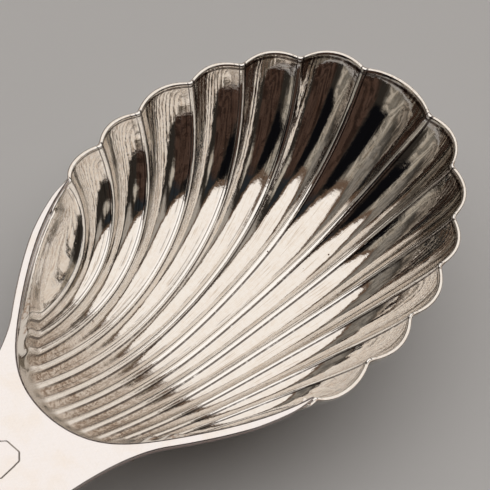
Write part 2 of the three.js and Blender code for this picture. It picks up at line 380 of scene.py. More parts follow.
@dataclass(frozen=True)
class RimOutline:
    """The smooth outline of the bowl, on which the notches of the rim and the seam lie."""

    heel_half_length: float = 25.0
    tip_half_length: float = 21.75
    half_width: float = 15.9
    heel_slimming: float = 0.76

    def slimming(self, along: Array) -> Array:
        """Half width as a share of a plain ellipse: the heel is a little slimmer than the tip."""
        return np.where(along < 0, 1 - self.heel_slimming * along**4 * (1 - along**2), 1.0)

    def point(self, angle: Union[float, Array]) -> Array:
        """Points of the outline at angles round it: 0 at the tip, pi at the heel.

        Args:
            angle: one or more angles.

        Returns:
            A point for each, as x and y.
        """
        along = np.cos(angle)
        reach = np.where(along < 0, self.heel_half_length, self.tip_half_length)
        across = self.half_width * self.slimming(along) * np.sin(angle)
        return np.stack([self.heel_half_length + reach * along, across], axis=-1)

    def normal(self, angle: Union[float, Array]) -> Array:
        """Directions square to the outline, pointing out of the bowl.

        Args:
            angle: one or more angles.

        Returns:
            A unit vector for each.
        """
        along = self.point(angle + ANGLE_STEP) - self.point(angle - ANGLE_STEP)
        square = np.stack([along[..., 1], -along[..., 0]], axis=-1)
        return square / np.linalg.norm(square, axis=-1, keepdims=True)

    def angle_at_length(self, length: float) -> float:
        """The angle at which the outline has run a length from the heel.

        Args:
            length: how long the run is.

        Returns:
            The angle.
        """
        angles = np.linspace(math.pi, 0, OUTLINE_SAMPLES)
        steps = np.linalg.norm(np.diff(self.point(angles), axis=0), axis=1)
        return float(np.interp(length, np.concatenate([[0.0], np.cumsum(steps)]), angles))


class Piece:
    """What the pieces of the spoon have in common: how a finished mesh joins the frame."""

    node: Node
    slot: Slot

    def join(self, piece: bpy.types.Object, rest: RestPlacement) -> bpy.types.Object:
        """Lays a finished mesh down, rides it on the spoon and puts it in its solid's stead.

        Args:
            piece: the finished mesh, in the spoon's own frame.
            rest: how the spoon lies.

        Returns:
            The same piece.
        """
        rest.lay_down(piece)
        piece.data.shade_smooth()
        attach(piece, BODY)
        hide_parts(self.node.value)
        LOG.info("%s: %d faces", piece.name, len(piece.data.polygons))
        return piece


@dataclass
class ShellBowl(Piece):
    """The fluted bowl: a sheet laid through crest lines and hollowed between them."""

    outline: RimOutline = field(default_factory=RimOutline)
    depth: float = 11.91
    floor_breadth: float = 2.8
    wall_exponent: float = 0.86
    end_rise: float = 0.33
    left_notch_angles: tuple[float, ...] = (14.0, 34.6, 51.8, 66.9, 83.0, 95.5, 106.2)
    right_notch_angles: tuple[float, ...] = (14.3, 34.1, 50.9, 66.0, 81.8, 96.4, 110.2)
    heel_pitch: float = 1.41
    flute_depth_share: float = 0.155
    tip_flute_depth_share: float = 0.113
    side_cove_depth_share: float = 0.075
    cove_start: float = 0.8
    cove_length: float = 1.4
    last_lobe_gap: float = 0.35
    lip_width: float = 0.45
    lip_end: float = 1.2
    lip_fade: Band = (110.0, 115.0, 146.0, 166.0)
    middle_pull: float = 41.6
    side_pull: float = 12.0
    side_spread: float = 15.3
    straight_crest_share: float = 0.3
    rim_pull: float = 2.24
    rim_pull_loss: float = 0.57
    middle_rim_turn: float = -1.6
    rim_turn: float = 122.0
    sheet: float = 0.425
    solid_sheet: float = 0.45
    level_length_share: float = 0.057
    level_width_share: float = 0.62
    heel_crest_softness: float = 0.75
    rim_crest_softness: float = 0.18
    soft_length: float = 0.35
    line_points: int = 1200
    strips_per_flute: int = 18
    rows: int = 120
    edge_steps: int = 5
    edge_row_share: float = 0.004
    edge_column_share: float = 0.08
    strip_crowding: float = 0.7
    row_crowding: float = 0.6
    node = Node.BOWL
    slot = Slot.BOWL

    @property
    def crests_per_side(self) -> int:
        """Number of crests on each side of the middle flute."""
        return len(self.left_notch_angles)

    @property
    def flutes(self) -> int:
        """Number of flutes across the bowl."""
        return 2 * self.crests_per_side + 1

    @property
    def last_crest_start(self) -> float:
        """Outline angle at which the seam takes over from the heel."""
        return self.outline.angle_at_length(self.heel_pitch * self.crests_per_side)

    def past_last_notch(self, notch_angles: Sequence[float], distance: float) -> float:
        """Outline angle at a distance past the last notch of a side, towards the heel."""
        return math.radians(notch_angles[-1]) + distance / self.outline.half_width

    def crest_depth(self, x: Array, y: Array) -> Array:
        """Depth of the crests below the rim at places in the bowl.

        Args:
            x: places along the bowl.
            y: places across it.

        Returns:
            The depth at each.
        """
        outline = self.outline
        from_middle = x - outline.heel_half_length
        along = from_middle / np.where(from_middle < 0, outline.heel_half_length, outline.tip_half_length)
        across = y / (outline.half_width * outline.slimming(along))
        inside = np.maximum(0.0, 1 - np.hypot(along, across) ** self.floor_breadth)
        rise = 1 - self.end_rise * (from_middle / outline.heel_half_length) ** 2
        return self.depth * inside**self.wall_exponent * rise

    def crest_line(self, number: int, notch_angles: Sequence[float]) -> Array:
        """Points of a crest, laid out on the +y side.

        Args:
            number: 1 next to the middle flute, and the last next to the yoke.
            notch_angles: where the notches of its side lie.

        Returns:
            The points, from the heel to the notch.
        """
        share = (number - 0.5) / (self.crests_per_side - 0.5)
        start = self.outline.point(self.outline.angle_at_length(self.heel_pitch * (number - 0.5)))
        notch = self.outline.point(math.radians(notch_angles[number - 1]))
        start_turn = math.radians(self.side_spread * share * (share - self.straight_crest_share))
        pull = self.middle_pull + (self.side_pull - self.middle_pull) * share
        end_turn = math.radians(self.middle_rim_turn + self.rim_turn * share)
        end_pull = self.rim_pull - self.rim_pull_loss * share
        leaving = start + pull * np.array([math.cos(start_turn), math.sin(start_turn)])
        arriving = notch - end_pull * np.array([math.cos(end_turn), math.sin(end_turn)])
        evenly = np.linspace(0, 1, self.line_points)
        plan = bezier([start, leaving, arriving, notch], (1 - np.cos(math.pi * evenly)) / 2)
        return np.column_stack([plan, -self.crest_depth(plan[:, 0], plan[:, 1])])

    def side_lines(self, notch_angles: Sequence[float]) -> list[Array]:
        """The seam and the crest lines of a side, laid out on the +y side, from the seam inwards.

        Args:
            notch_angles: where the notches of the side lie.

        Returns:
            The points of each line.
        """
        end = self.past_last_notch(notch_angles, self.last_lobe_gap)
        angles = np.linspace(self.last_crest_start, end, self.line_points)
        seam = np.column_stack([self.outline.point(angles), np.zeros(self.line_points)])
        return [seam] + [self.crest_line(n, notch_angles) for n in range(self.crests_per_side, 0, -1)]

    def guide_lines(self) -> list[Array]:
        """The seam and crest lines in order across the bowl, from +y to -y."""
        right = [line * np.array([1.0, -1.0, 1.0]) for line in self.side_lines(self.right_notch_angles)]
        return self.side_lines(self.left_notch_angles) + right[::-1]

    def build(self, material: bpy.types.Material, rest: RestPlacement) -> bpy.types.Object:
        """Makes the bowl.

        Args:
            material: the bowl's silver.
            rest: how the spoon lies.

        Returns:
            The finished piece.
        """
        lines = curve_object("crest_lines", self.guide_lines())
        tree = FlutedSheet(self, lines)
        piece = tree.maker.baked(tree.sheet(), material, "silver_shell_bowl")
        bpy.data.objects.remove(lines)
        return self.join(piece, rest)


class FlutedSheet:
    """The bowl's geometry tree: a grid laid through the crest lines and hollowed between them."""

    def __init__(self, bowl: ShellBowl, lines: bpy.types.Object) -> None:
        """Starts the tree and spreads the columns and rows of its grid.

        Args:
            bowl: the bowl's sizes.
            lines: its seam and crest lines.
        """
        self.bowl = bowl
        self.maker = maker = GeometryTree("fluted_sheet")
        crests = maker.size("Crest lines", lines, "NodeSocketObject")
        self.curves = maker.node("ObjectInfo", {"Object": crests}, "Geometry")
        counts = {"Flutes": bowl.flutes, "Strips per flute": bowl.strips_per_flute}
        counts |= {"Rows": bowl.rows, "Edge steps": bowl.edge_steps}
        inputs = [maker.size(name, count, "NodeSocketInt") for name, count in counts.items()]
        self.flutes, strips, rows, self.edge = inputs
        middle_columns = self.flutes * strips
        columns = middle_columns + self.edge * 2.0
        all_rows = rows + self.edge * 2.0
        vertices = {"Vertices X": columns + 1.0, "Vertices Y": all_rows + 1.0}
        self.grid = maker.node("MeshGrid", {"Size X": 1.0, "Size Y": 1.0} | vertices, "Mesh")
        place = maker.node("InputPosition", {})
        column = (place.part(0) + 0.5) * columns
        row = (place.part(1) + 0.5) * all_rows
        self.across, side_edge = self.spread_across(column, columns, middle_columns)
        self.along, end_edge = self.spread_along(row, all_rows, rows)
        self.rounding = side_edge * end_edge

    def edge_turns(self, number: Field, count: Field) -> tuple[Field, Field]:
        """How far a line of the grid has turned round the first and the last rounded edge, as angles."""
        first = (number / self.edge).clamped() * QUARTER_TURN
        return first, ((count - number) / self.edge).clamped() * QUARTER_TURN

    @staticmethod
    def crowded(share: Field, crowding: Field) -> Field:
        """A share between 0 and 1, moved towards the nearer of the two."""
        return crowding.mixed(share, (1.0 - (share * math.pi).apply("COSINE")) * 0.5)

    def spread_across(self, column: Field, columns: Field, middle: Field) -> tuple[Field, Field]:
        """Where a column of the grid lies across the bowl, counted in flutes.

        Args:
            column: the column's number.
            columns: how many there are.
            middle: how many lie between the two rounded edges.

        Returns:
            The place across, and how far the edge's rounding lets the sheet reach its full thickness.
        """
        crowding, margin = self.maker.sizes(self.bowl, "strip_crowding edge_column_share")
        even = ((column - self.edge) / middle).clamped() * self.flutes
        whole = even.apply("FLOOR")
        inside = whole + self.crowded(even - whole, crowding)
        first, last = self.edge_turns(column, columns)
        from_first = (1.0 - inside).apply("MAXIMUM", 0.0) - first.apply("COSINE")
        from_last = (inside - self.flutes + 1.0).apply("MAXIMUM", 0.0) - last.apply("COSINE")
        return inside + margin * (from_first - from_last), first.apply("SINE") * last.apply("SINE")

    def spread_along(self, row: Field, all_rows: Field, rows: Field) -> tuple[Field, Field]:
        """Where a row of the grid lies along the crests, as a share of their length.

        Args:
            row: the row's number.
            all_rows: how many there are.
            rows: how many lie between the two rounded edges.

        Returns:
            The place along, and how far the edge's rounding lets the sheet reach its full thickness.
        """
        crowding, margin = self.maker.sizes(self.bowl, "row_crowding edge_row_share")
        inside = self.crowded(((row - self.edge) / rows).clamped(), crowding)
        first, last = self.edge_turns(row, all_rows)
        ends = margin * (1.0 - first.apply("COSINE") + last.apply("COSINE"))
        return inside * (1.0 - margin * 2.0) + ends, first.apply("SINE") * last.apply("SINE")

    def guide_surface(self) -> Field:
        """The smooth surface through the crest lines.

        It also notes each flute's number, the place across it as a share, its width and its crest's length.

        Returns:
            The point of the surface.
        """
        last_flute = self.flutes - 1.0
        self.flute = self.across.apply("FLOOR").apply("MINIMUM", last_flute).apply("MAXIMUM", 0.0)
        self.share = share = self.across - self.flute
        spline_length = self.maker.node("SplineLength", {}, "Length")

        def sampled(offset: float, output: str = "Position") -> Field:
            """The line that lies some lines away from the flute's own, read at the same place along.

            Args:
                offset: how many lines away.
                output: what is read of it.

            Returns:
                What was read.
            """
            index = (self.flute + offset).apply("MAXIMUM", 0.0).apply("MINIMUM", self.flutes)
            inputs = {"Curves": self.curves, "Value": spline_length, "Factor": self.along}
            inputs |= {"Curve Index": index}
            return self.maker.node("SampleCurve", inputs, output, mode="FACTOR", use_all_curves=False)

        before, left, right, after = (sampled(offset) for offset in (-1.0, 0.0, 1.0, 2.0))
        is_first = self.flute.apply("LESS_THAN", 0.5)
        is_last = self.flute.apply("GREATER_THAN", self.flutes - 1.5)
        leaving = (right - before) * (is_first * 0.5 + 0.5)
        arriving = (after - left) * (is_last * 0.5 + 0.5)
        square = share * share
        cube = square * share
        point = left * (cube * 2.0 - square * 3.0 + 1.0) + leaving * (cube - square * 2.0 + share)
        self.width = (right - left).apply("LENGTH")
        self.length = sampled(0.0, "Value")
        return point + right * (square * 3.0 - cube * 2.0) + arriving * (cube - square)

    def lipped(self, base: Field) -> tuple[Field, Field]:
        """Lifts the surface to a narrow level lip along the seam, from which the wall falls away.

        Args:
            base: the smooth surface through the crest lines.

        Returns:
            The surface with its lip, and how far in from the rim's outline each point lies.
        """
        outline = self.bowl.outline
        reach, half_width = self.maker.sizes(outline, "heel_half_length half_width", MM)
        slimming = self.maker.sizes(outline, "heel_slimming")[0]
        lip_width, lip_end = self.maker.sizes(self.bowl, "lip_width lip_end", MM)
        along = (base.part(0) - reach) / reach
        square = along * along
        slim = 1.0 - square * square * (1.0 - square) * slimming * along.apply("LESS_THAN", 0.0)
        across = base.part(1).apply("ABSOLUTE") / (slim * half_width)
        from_middle = joined_vector(along, across, 0.0).apply("LENGTH")
        angle = across.apply("ARCTAN2", along)
        inset = (1.0 - from_middle) * (slim * half_width)
        weight = angle.banded([math.radians(end) for end in self.bowl.lip_fade])
        lowered = ((inset - lip_width) / (lip_end - lip_width)).stepped(0.0, 1.0)
        kept = 1.0 - weight * (1.0 - lowered)
        return joined_vector(base.part(0), base.part(1), base.part(2) * kept), inset

    def hollow(self) -> Field:
        """How deep a flute is hollowed below the surface through its crests.

        Returns:
            The depth.
        """
        names = "flute_depth_share tip_flute_depth_share side_cove_depth_share"
        plain, tip, side = self.maker.sizes(self.bowl, names)
        cove_start, cove = self.maker.sizes(self.bowl, "cove_start cove_length", MM)
        softnesses = self.maker.sizes(self.bowl, "heel_crest_softness rim_crest_softness")
        from_middle = (self.flute - (self.flutes - 1.0) * 0.5).apply("ABSOLUTE")
        is_tip = from_middle.apply("LESS_THAN", 0.5)
        is_side = from_middle.apply("GREATER_THAN", (self.flutes - 2.0) * 0.5)
        depth_share = plain + is_tip * (tip - plain) + is_side * (side - plain)
        start = ((self.along * self.length - cove_start) / cove).stepped(0.0, 1.0)
        softness = (self.along / self.bowl.soft_length).stepped(0.0, 1.0).mixed(*softnesses)
        arch = self.share * (1.0 - self.share) * 4.0
        soft_square = softness * softness
        rounded = (arch * arch + soft_square).apply("SQRT") - softness
        highest = (soft_square + 1.0).apply("SQRT") - softness
        return self.width * depth_share * rounded / highest * start

    def sheet(self) -> Field:
        """The whole tree up to the closed sheet, with its place on the shell noted at each point.

        Returns:
            The closed mesh.
        """
        base, rim_distance = self.lipped(self.guide_surface())
        noted = {"Across": self.across, "Along": self.along, "Hollow": self.hollow()}
        noted |= {"Rounding": self.rounding, FLUTE_WIDTH: self.width, RIM_DISTANCE: rim_distance}
        tree = self.maker.tree
        captured = tree.nodes.new("GeometryNodeCaptureAttribute")
        tree.links.new(self.grid.socket, captured.inputs["Geometry"])
        for name, value in noted.items():
            captured.capture_items.new("FLOAT", name)
            tree.links.new(value.socket, captured.inputs[name])
        kept = {name: Field(tree, captured.outputs[name]) for name in noted}
        flat = Field(tree, captured.outputs["Geometry"])
        laid = self.maker.node("SetPosition", {"Geometry": flat, "Position": base})
        return self.closed(self.two_sides(laid, kept), kept)

    def two_sides(self, laid: Field, kept: dict[str, Field]) -> tuple[Field, Field]:
        """The two faces of the sheet, which meet along its rounded edge.

        Args:
            laid: the grid on the surface through the crests.
            kept: what was worked out for each of its points.

        Returns:
            The inner and the outer face.
        """
        sheet, solid_sheet = self.maker.sizes(self.bowl, "sheet solid_sheet", MM)
        level_length, level_width = self.maker.sizes(self.bowl, "level_length_share level_width_share")
        normal = self.maker.node("InputNormal", {})
        across, along = kept["Across"], kept["Along"]
        to_side = across.apply("MINIMUM", self.flutes - across) / level_width
        to_end = along.apply("MINIMUM", 1.0 - along) / level_length
        level = to_side.apply("MINIMUM", to_end).clamped()
        tilted = joined_vector(normal.part(0), normal.part(1), normal.part(2) * level)
        outward = tilted.apply("NORMALIZE") * -1.0
        middle = kept["Hollow"] + solid_sheet * 0.5
        half = sheet * 0.5 * kept["Rounding"]
        inner = self.maker.node("SetPosition", {"Geometry": laid, "Offset": outward * (middle - half)})
        outer = self.maker.node("SetPosition", {"Geometry": laid, "Offset": outward * (middle + half)})
        return inner, outer

    def closed(self, faces: tuple[Field, Field], kept: dict[str, Field]) -> Field:
        """Joins the two faces into one closed sheet and notes where each point lies on the shell.

        Args:
            faces: the inner and the outer face.
            kept: what was worked out for each point.

        Returns:
            The closed mesh.
        """
        turned = self.maker.node("FlipFaces", {"Mesh": faces[1]})
        joint = self.maker.tree.nodes.new("GeometryNodeJoinGeometry")
        for side, face in enumerate((faces[0], turned)):
            place = joined_vector(kept["Across"], kept["Along"], float(side))
            notes = [(SHELL_PLACE, "FLOAT_VECTOR", place)]
            notes += [(name, "FLOAT", kept[name] * (1.0 / MM)) for name in (FLUTE_WIDTH, RIM_DISTANCE)]
            for name, kind, value in notes:
                inputs = {"Geometry": face, "Name": name, "Value": value}
                face = self.maker.node("StoreNamedAttribute", inputs, data_type=kind, domain="POINT")
            self.maker.tree.links.new(face.socket, joint.inputs[0])
        joined = Field(self.maker.tree, joint.outputs[0])
        return self.maker.node("MergeByDistance", {"Geometry": joined, "Distance": MERGE_DISTANCE})


@dataclass(frozen=True)
class SunkPanel:
    """A blank panel with cut corners, punched a little way into the front of the handle."""

    centre: Span = (-5.5, 0.25)
    half_length: float = 1.65
    half_width: float = 1.35
    cut: float = 0.62
    depth: float = 0.09
    slope: float = 0.14
    rim_height: float = 0.03
    rim_width: float = 0.16

    def drop(self, x: Array, y: Array) -> Array:
        """How far the front lies below its plain level at places on the handle.

        Args:
            x: places along the handle.
            y: places across it.

        Returns:
            The drop at each.
        """
        along = np.abs(x - self.centre[0])
        across = np.abs(y - self.centre[1])
        corner = (along + across - (self.half_length + self.half_width - self.cut)) / math.sqrt(2)
        outside = np.maximum(np.maximum(along - self.half_length, across - self.half_width), corner)
        share = np.clip(-outside / self.slope, 0.0, 1.0)
        rim = self.rim_height * np.exp(-((outside / self.rim_width) ** 2)) * (outside > 0)
        return self.depth * share * share * (3 - 2 * share) - rim


@dataclass
class Handle(Piece):
    """The flat handle with its yoke: a sheet with softly rounded edges, bent down towards its end."""

    bowl: ShellBowl
    sheet: float = 0.6
    arm_end_sheet: float = 0.3
    gap: float = 0.1
    arm_width: float = 0.8
    arm_end_width: float = 0.45
    arm_end_gap: float = 0.1
    arm_point_length: float = 1.6
    arm_point_width: float = 0.16
    arm_taper_share: float = 0.4
    shoulder_x: float = 5.0
    shoulder_pull: float = 5.0
    stem_start_x: float = -3.6
    waist_x: float = -15.0
    waist_pull: float = 7.0
    yoke_root_share: float = 0.35
    waist_half_width: float = 4.9
    end_half_width: float = 6.6
    swell_pull_share: float = 0.4
    end_round_length: float = 6.5
    length: float = 38.0
    bend_start_x: float = -9.0
    bend_radius: float = 60.0
    edge_radius: float = 0.2
    edge_thickness_share: float = 0.45
    arm_radius_share: float = 0.25
    edge_steps: int = 7
    arm_steps: int = 120
    shoulder_steps: int = 60
    stem_columns: int = 120
    yoke_rows: int = 6
    panel_rows: int = 46
    panel_end_x: float = -7.4
    stem_rows: int = 90
    panel: SunkPanel = SunkPanel()
    node = Node.HANDLE
    slot = Slot.HANDLE

    def __post_init__(self) -> None:
        """Works out the curves of the outer edge."""
        outline = self.bowl.outline
        self.shoulder_angle = math.pi - math.acos(1 - self.shoulder_x / outline.heel_half_length)
        outward = outline.normal(self.shoulder_angle)
        start = outline.point(self.shoulder_angle) + outward * self.arm_width
        tangent = np.array([-outward[1], outward[0]])
        waist = np.array([self.waist_x, self.waist_half_width])
        leaving = start + tangent * self.shoulder_pull
        self.shoulder = [start, leaving, waist + [self.waist_pull, 0.0], waist]
        self.end_start_x = self.end_round_length - self.length
        pull = [self.swell_pull_share * (self.end_start_x - self.waist_x), 0.0]
        swell_end = np.array([self.end_start_x, self.end_half_width])
        self.swell = [waist, waist + pull, swell_end - pull, swell_end]
        shares = np.linspace(0, 1, CURVE_SAMPLES)
        self.shoulder_table = self.inset(bezier(self.shoulder, shares))
        self.swell_table = self.inset(bezier(self.swell, shares))
        self.stem_share = float(np.interp(-self.stem_start_x, -self.shoulder_table[:, 0], shares))

    def inset(self, line: Array) -> Array:
        """A line along the outer edge, moved in by the edge's radius.

        Args:
            line: points along the edge.

        Returns:
            The points moved in.
        """
        along = np.gradient(line, axis=0)
        along /= np.linalg.norm(along, axis=1, keepdims=True)
        return line + self.edge_radius * np.column_stack([-along[:, 1], along[:, 0]])

    def half_width(self, x: Array) -> Array:
        """Half width of the stem inside its rounded edge, at places along it.

        Args:
            x: places along the stem.

        Returns:
            The half width at each.
        """
        at_shoulder = np.interp(-x, -self.shoulder_table[:, 0], self.shoulder_table[:, 1])
        at_swell = np.interp(-x, -self.swell_table[:, 0], self.swell_table[:, 1])
        beyond = np.clip((self.end_start_x - x) / (self.end_round_length - self.edge_radius), 0.0, 1.0)
        at_end = (self.end_half_width - self.edge_radius) * np.sqrt(1 - beyond**2)
        return np.where(x > self.waist_x, at_shoulder, np.where(x > self.end_start_x, at_swell, at_end))

    def thickness(self, angle: Array, end: float) -> Array:
        """Thickness of the yoke: its arms are hammered thinner towards their ends."""
        share = np.clip((self.shoulder_angle - angle) / (self.shoulder_angle - end), 0.0, 1.0)
        return self.sheet + (self.arm_end_sheet - self.sheet) * share**2

    def yoke_half(self, notch_angles: Sequence[float]) -> tuple[Array, Array, Array]:
        """Half of the yoke, laid out on the +y side, from the end of the arm to the middle.

        Args:
            notch_angles: where the notches of its side lie.

        Returns:
            Its inner edge and its outer edge, both inside the rounding, its thickness and its edge radius.
        """
        outline = self.bowl.outline
        end = self.bowl.past_last_notch(notch_angles, self.arm_end_gap)
        end_radius = self.arm_radius_share * self.arm_point_width
        share = np.linspace(0, 1, self.arm_steps + 1)
        arm = end + end_radius / outline.half_width
        arm = arm + (self.shoulder_angle - arm) * share
        taper = np.minimum(1.0, (arm - end) / (self.shoulder_angle - end) / self.arm_taper_share)
        width = self.arm_end_width + (self.arm_width - self.arm_end_width) * taper
        pointed = np.minimum(1.0, (arm - end) * outline.half_width / self.arm_point_length)
        width = self.arm_point_width + (width - self.arm_point_width) * np.sin(pointed * QUARTER_TURN)
        arm_radius = np.minimum(self.edge_radius, self.arm_radius_share * width)
        outer = [outline.point(arm) + outline.normal(arm) * (width - arm_radius)[:, None]]
        root_angle = self.shoulder_angle + (math.pi - self.shoulder_angle) * self.yoke_root_share
        share = np.linspace(0, 1, self.shoulder_steps + 1)[1:]
        shoulder = self.shoulder_angle + (root_angle - self.shoulder_angle) * share
        along = np.linspace(0, 1, len(self.shoulder_table))
        outer.append(np.column_stack([
            np.interp(self.stem_share * share, along, self.shoulder_table[:, axis]) for axis in (0, 1)
        ]))
        share = np.linspace(0, 1, self.stem_columns // 2 + 1)[1:]
        root = root_angle + (math.pi - root_angle) * share
        start_width = self.half_width(np.array([self.stem_start_x]))[0]
        outer.append(np.column_stack([np.full(len(share), self.stem_start_x), start_width * (1 - share)]))
        angles = np.concatenate([arm, shoulder, root])
        radius = np.concatenate([arm_radius, np.full(len(angles) - len(arm), self.edge_radius)])
        inner = outline.point(angles) + outline.normal(angles) * radius[:, None]
        return inner, np.concatenate(outer), self.thickness(angles, end), radius

    def plan(self) -> tuple[Array, Array, Array, Faces]:
        """The sheet seen from above.

        Returns:
            Its points, the thickness and the edge radius at each, and its faces.
        """
        mirror = np.array([1.0, -1.0])
        left = self.yoke_half(self.bowl.left_notch_angles)
        right = self.yoke_half(self.bowl.right_notch_angles)
        inner, outer = (np.concatenate([a, b[-2::-1] * mirror]) for a, b in zip(left[:2], right[:2]))
        thick, yoke_radius = (np.concatenate([a, b[-2::-1]]) for a, b in zip(left[2:], right[2:]))
        shares = np.linspace(0, 1, self.yoke_rows + 1)[None, :, None]
        ribbon = inner[:, None] * (1 - shares) + outer[:, None] * shares
        points = ribbon.reshape(-1, 2)
        thickness = np.repeat(thick, self.yoke_rows + 1)
        radius = np.repeat(yoke_radius, self.yoke_rows + 1)
        columns = len(inner) - 1
        height = self.yoke_rows + 1
        faces = [
            (c * height + r, c * height + r + 1, (c + 1) * height + r + 1, (c + 1) * height + r)
            for c in range(columns)
            for r in range(self.yoke_rows)
        ]
        first = self.arm_steps + self.shoulder_steps
        previous = [(first + c) * height + self.yoke_rows for c in range(self.stem_columns + 1)]
        beside_panel = np.linspace(self.stem_start_x, self.panel_end_x, self.panel_rows + 1)[1:]
        turn = np.linspace(0, 1, self.stem_rows + 1)[1:]
        end_x = self.edge_radius - self.length
        beyond = self.panel_end_x + (end_x - self.panel_end_x) * np.sin(turn * QUARTER_TURN)
        stem_x = np.concatenate([beside_panel, beyond])
        stem_points = []
        for x in stem_x[:-1]:
            half = self.half_width(np.array([x]))[0]
            stem_points.append(np.column_stack([
                np.full(self.stem_columns + 1, x), half * np.linspace(1, -1, self.stem_columns + 1)
            ]))
        start = len(points)
        for index in range(len(stem_points)):
            current = [start + index * (self.stem_columns + 1) + c for c in range(self.stem_columns + 1)]
            faces += [
                (previous[c], current[c], current[c + 1], previous[c + 1]) for c in range(self.stem_columns)
            ]
            previous = current
        tip = start + len(stem_points) * (self.stem_columns + 1)
        faces += [(previous[c], tip, previous[c + 1]) for c in range(self.stem_columns)]
        points = np.concatenate([points, *stem_points, [[end_x, 0.0]]])
        extra = len(points) - start
        thickness = np.concatenate([thickness, np.full(extra, self.sheet)])
        radius = np.concatenate([radius, np.full(extra, self.edge_radius)])
        return points, thickness, np.minimum(radius, self.edge_thickness_share * thickness), faces

    def seam_distance(self, points: Array) -> Array:
        """Roughly how far points lie outside the seam, seen from above, in millimetres.

        Args:
            points: the points.

        Returns:
            The distance of each.
        """
        outline = self.bowl.outline
        from_middle = points[:, 0] - outline.heel_half_length
        along = from_middle / np.where(from_middle < 0, outline.heel_half_length, outline.tip_half_length)
        half = outline.half_width * outline.slimming(np.clip(along, -1.0, 1.0))
        across = points[:, 1] / half
        reach = np.hypot(from_middle, points[:, 1]) / np.hypot(along, across)
        return (np.hypot(along, across) - 1) * reach

    def bent(self, points: Array) -> Array:
        """Bends points down towards the end of the handle, on a circle that starts level.

        Args:
            points: points of the straight handle.

        Returns:
            The same points, bent.
        """
        beyond = np.maximum(self.bend_start_x - points[:, 0], 0.0)
        turn = beyond / self.bend_radius
        radius = self.bend_radius + points[:, 2]
        moved = points.copy()
        curved = beyond > 0
        moved[curved, 0] = self.bend_start_x - (radius * np.sin(turn))[curved]
        moved[curved, 2] = (radius * np.cos(turn) - self.bend_radius)[curved]
        return moved

    def build(self, material: bpy.types.Material, rest: RestPlacement) -> bpy.types.Object:
        """Makes the handle.

        Args:
            material: the handle's silver.
            rest: how the spoon lies.

        Returns:
            The finished piece.
        """
        plan, thickness, radius, faces = self.plan()
        low = np.full(len(plan), self.gap)
        high = low + thickness - self.panel.drop(plan[:, 0], plan[:, 1])
        points, skin = rounded_sheet(plan, low, high, radius, faces, self.edge_steps)
        mesh = bpy.data.meshes.new("silver_handle")
        mesh.from_pydata((self.bent(points) * MM).tolist(), [], skin)
        mesh.materials.append(material)
        kept = mesh.attributes.new(SEAM_DISTANCE, "FLOAT", "POINT")
        kept.data.foreach_set("value", self.seam_distance(points))
        return self.join(linked("silver_handle", mesh), rest)


def rounded_sheet(
    plan: Array,
    low: Array,
    high: Array,
    radius: Array,
    faces: Faces,
    steps: int,
) -> tuple[Array, Faces]:
    """A closed sheet from its plan, with the edge rounded above and below.

    Args:
        plan: points of the plan, the border ones inside the rounding of the edge.
        low: height of the underside at each.
        high: height of the top at each.
        radius: edge radius at each.
        faces: faces of the plan, counter-clockwise from above.
        steps: number of facets in each rounding.

    Returns:
        Points and faces.
    """
    edges = {edge: True for face in faces for edge in zip(face, face[1:] + face[:1])}
    border = {start: end for start, end in edges if (end, start) not in edges}
    loop = [next(iter(border))]
    while border[loop[-1]] != loop[0]:
        loop.append(border[loop[-1]])
    ring = plan[loop]
    along = np.roll(ring, -1, axis=0) - ring
    along /= np.linalg.norm(along, axis=1, keepdims=True)
    square = np.column_stack([along[:, 1], -along[:, 0]])
    outward = square + np.roll(square, 1, axis=0)
    outward /= np.linalg.norm(outward, axis=1, keepdims=True)
    reach = radius[loop][:, None]
    points = [np.column_stack([plan, high]), np.column_stack([plan, low])]
    count = len(plan)
    skin = [tuple(face) for face in faces]
    skin += [tuple(count + corner for corner in reversed(face)) for face in faces]
    angles = np.linspace(0, QUARTER_TURN, steps + 1)[1:]
    turns = [(angle, True) for angle in angles] + [(angle, False) for angle in angles[::-1]]
    previous = loop
    for angle, is_top in turns:
        place = ring + outward * reach * math.sin(angle)
        drop = radius[loop] * (1 - math.cos(angle))
        height = high[loop] - drop if is_top else low[loop] + drop
        start = sum(len(part) for part in points)
        points.append(np.column_stack([place, height]))
        current = list(range(start, start + len(loop)))
        skin += ring_faces(previous, current)
        previous = current
    skin += ring_faces(previous, [count + corner for corner in loop])
    return np.concatenate(points), skin


def ring_faces(upper: Sequence[int], lower: Sequence[int]) -> Faces:
    """Faces of a wall between two rings of points that run counter-clockwise from above."""
    count = len(upper)
    return [(upper[(i + 1) % count], upper[i], lower[i], lower[(i + 1) % count]) for i in range(count)]


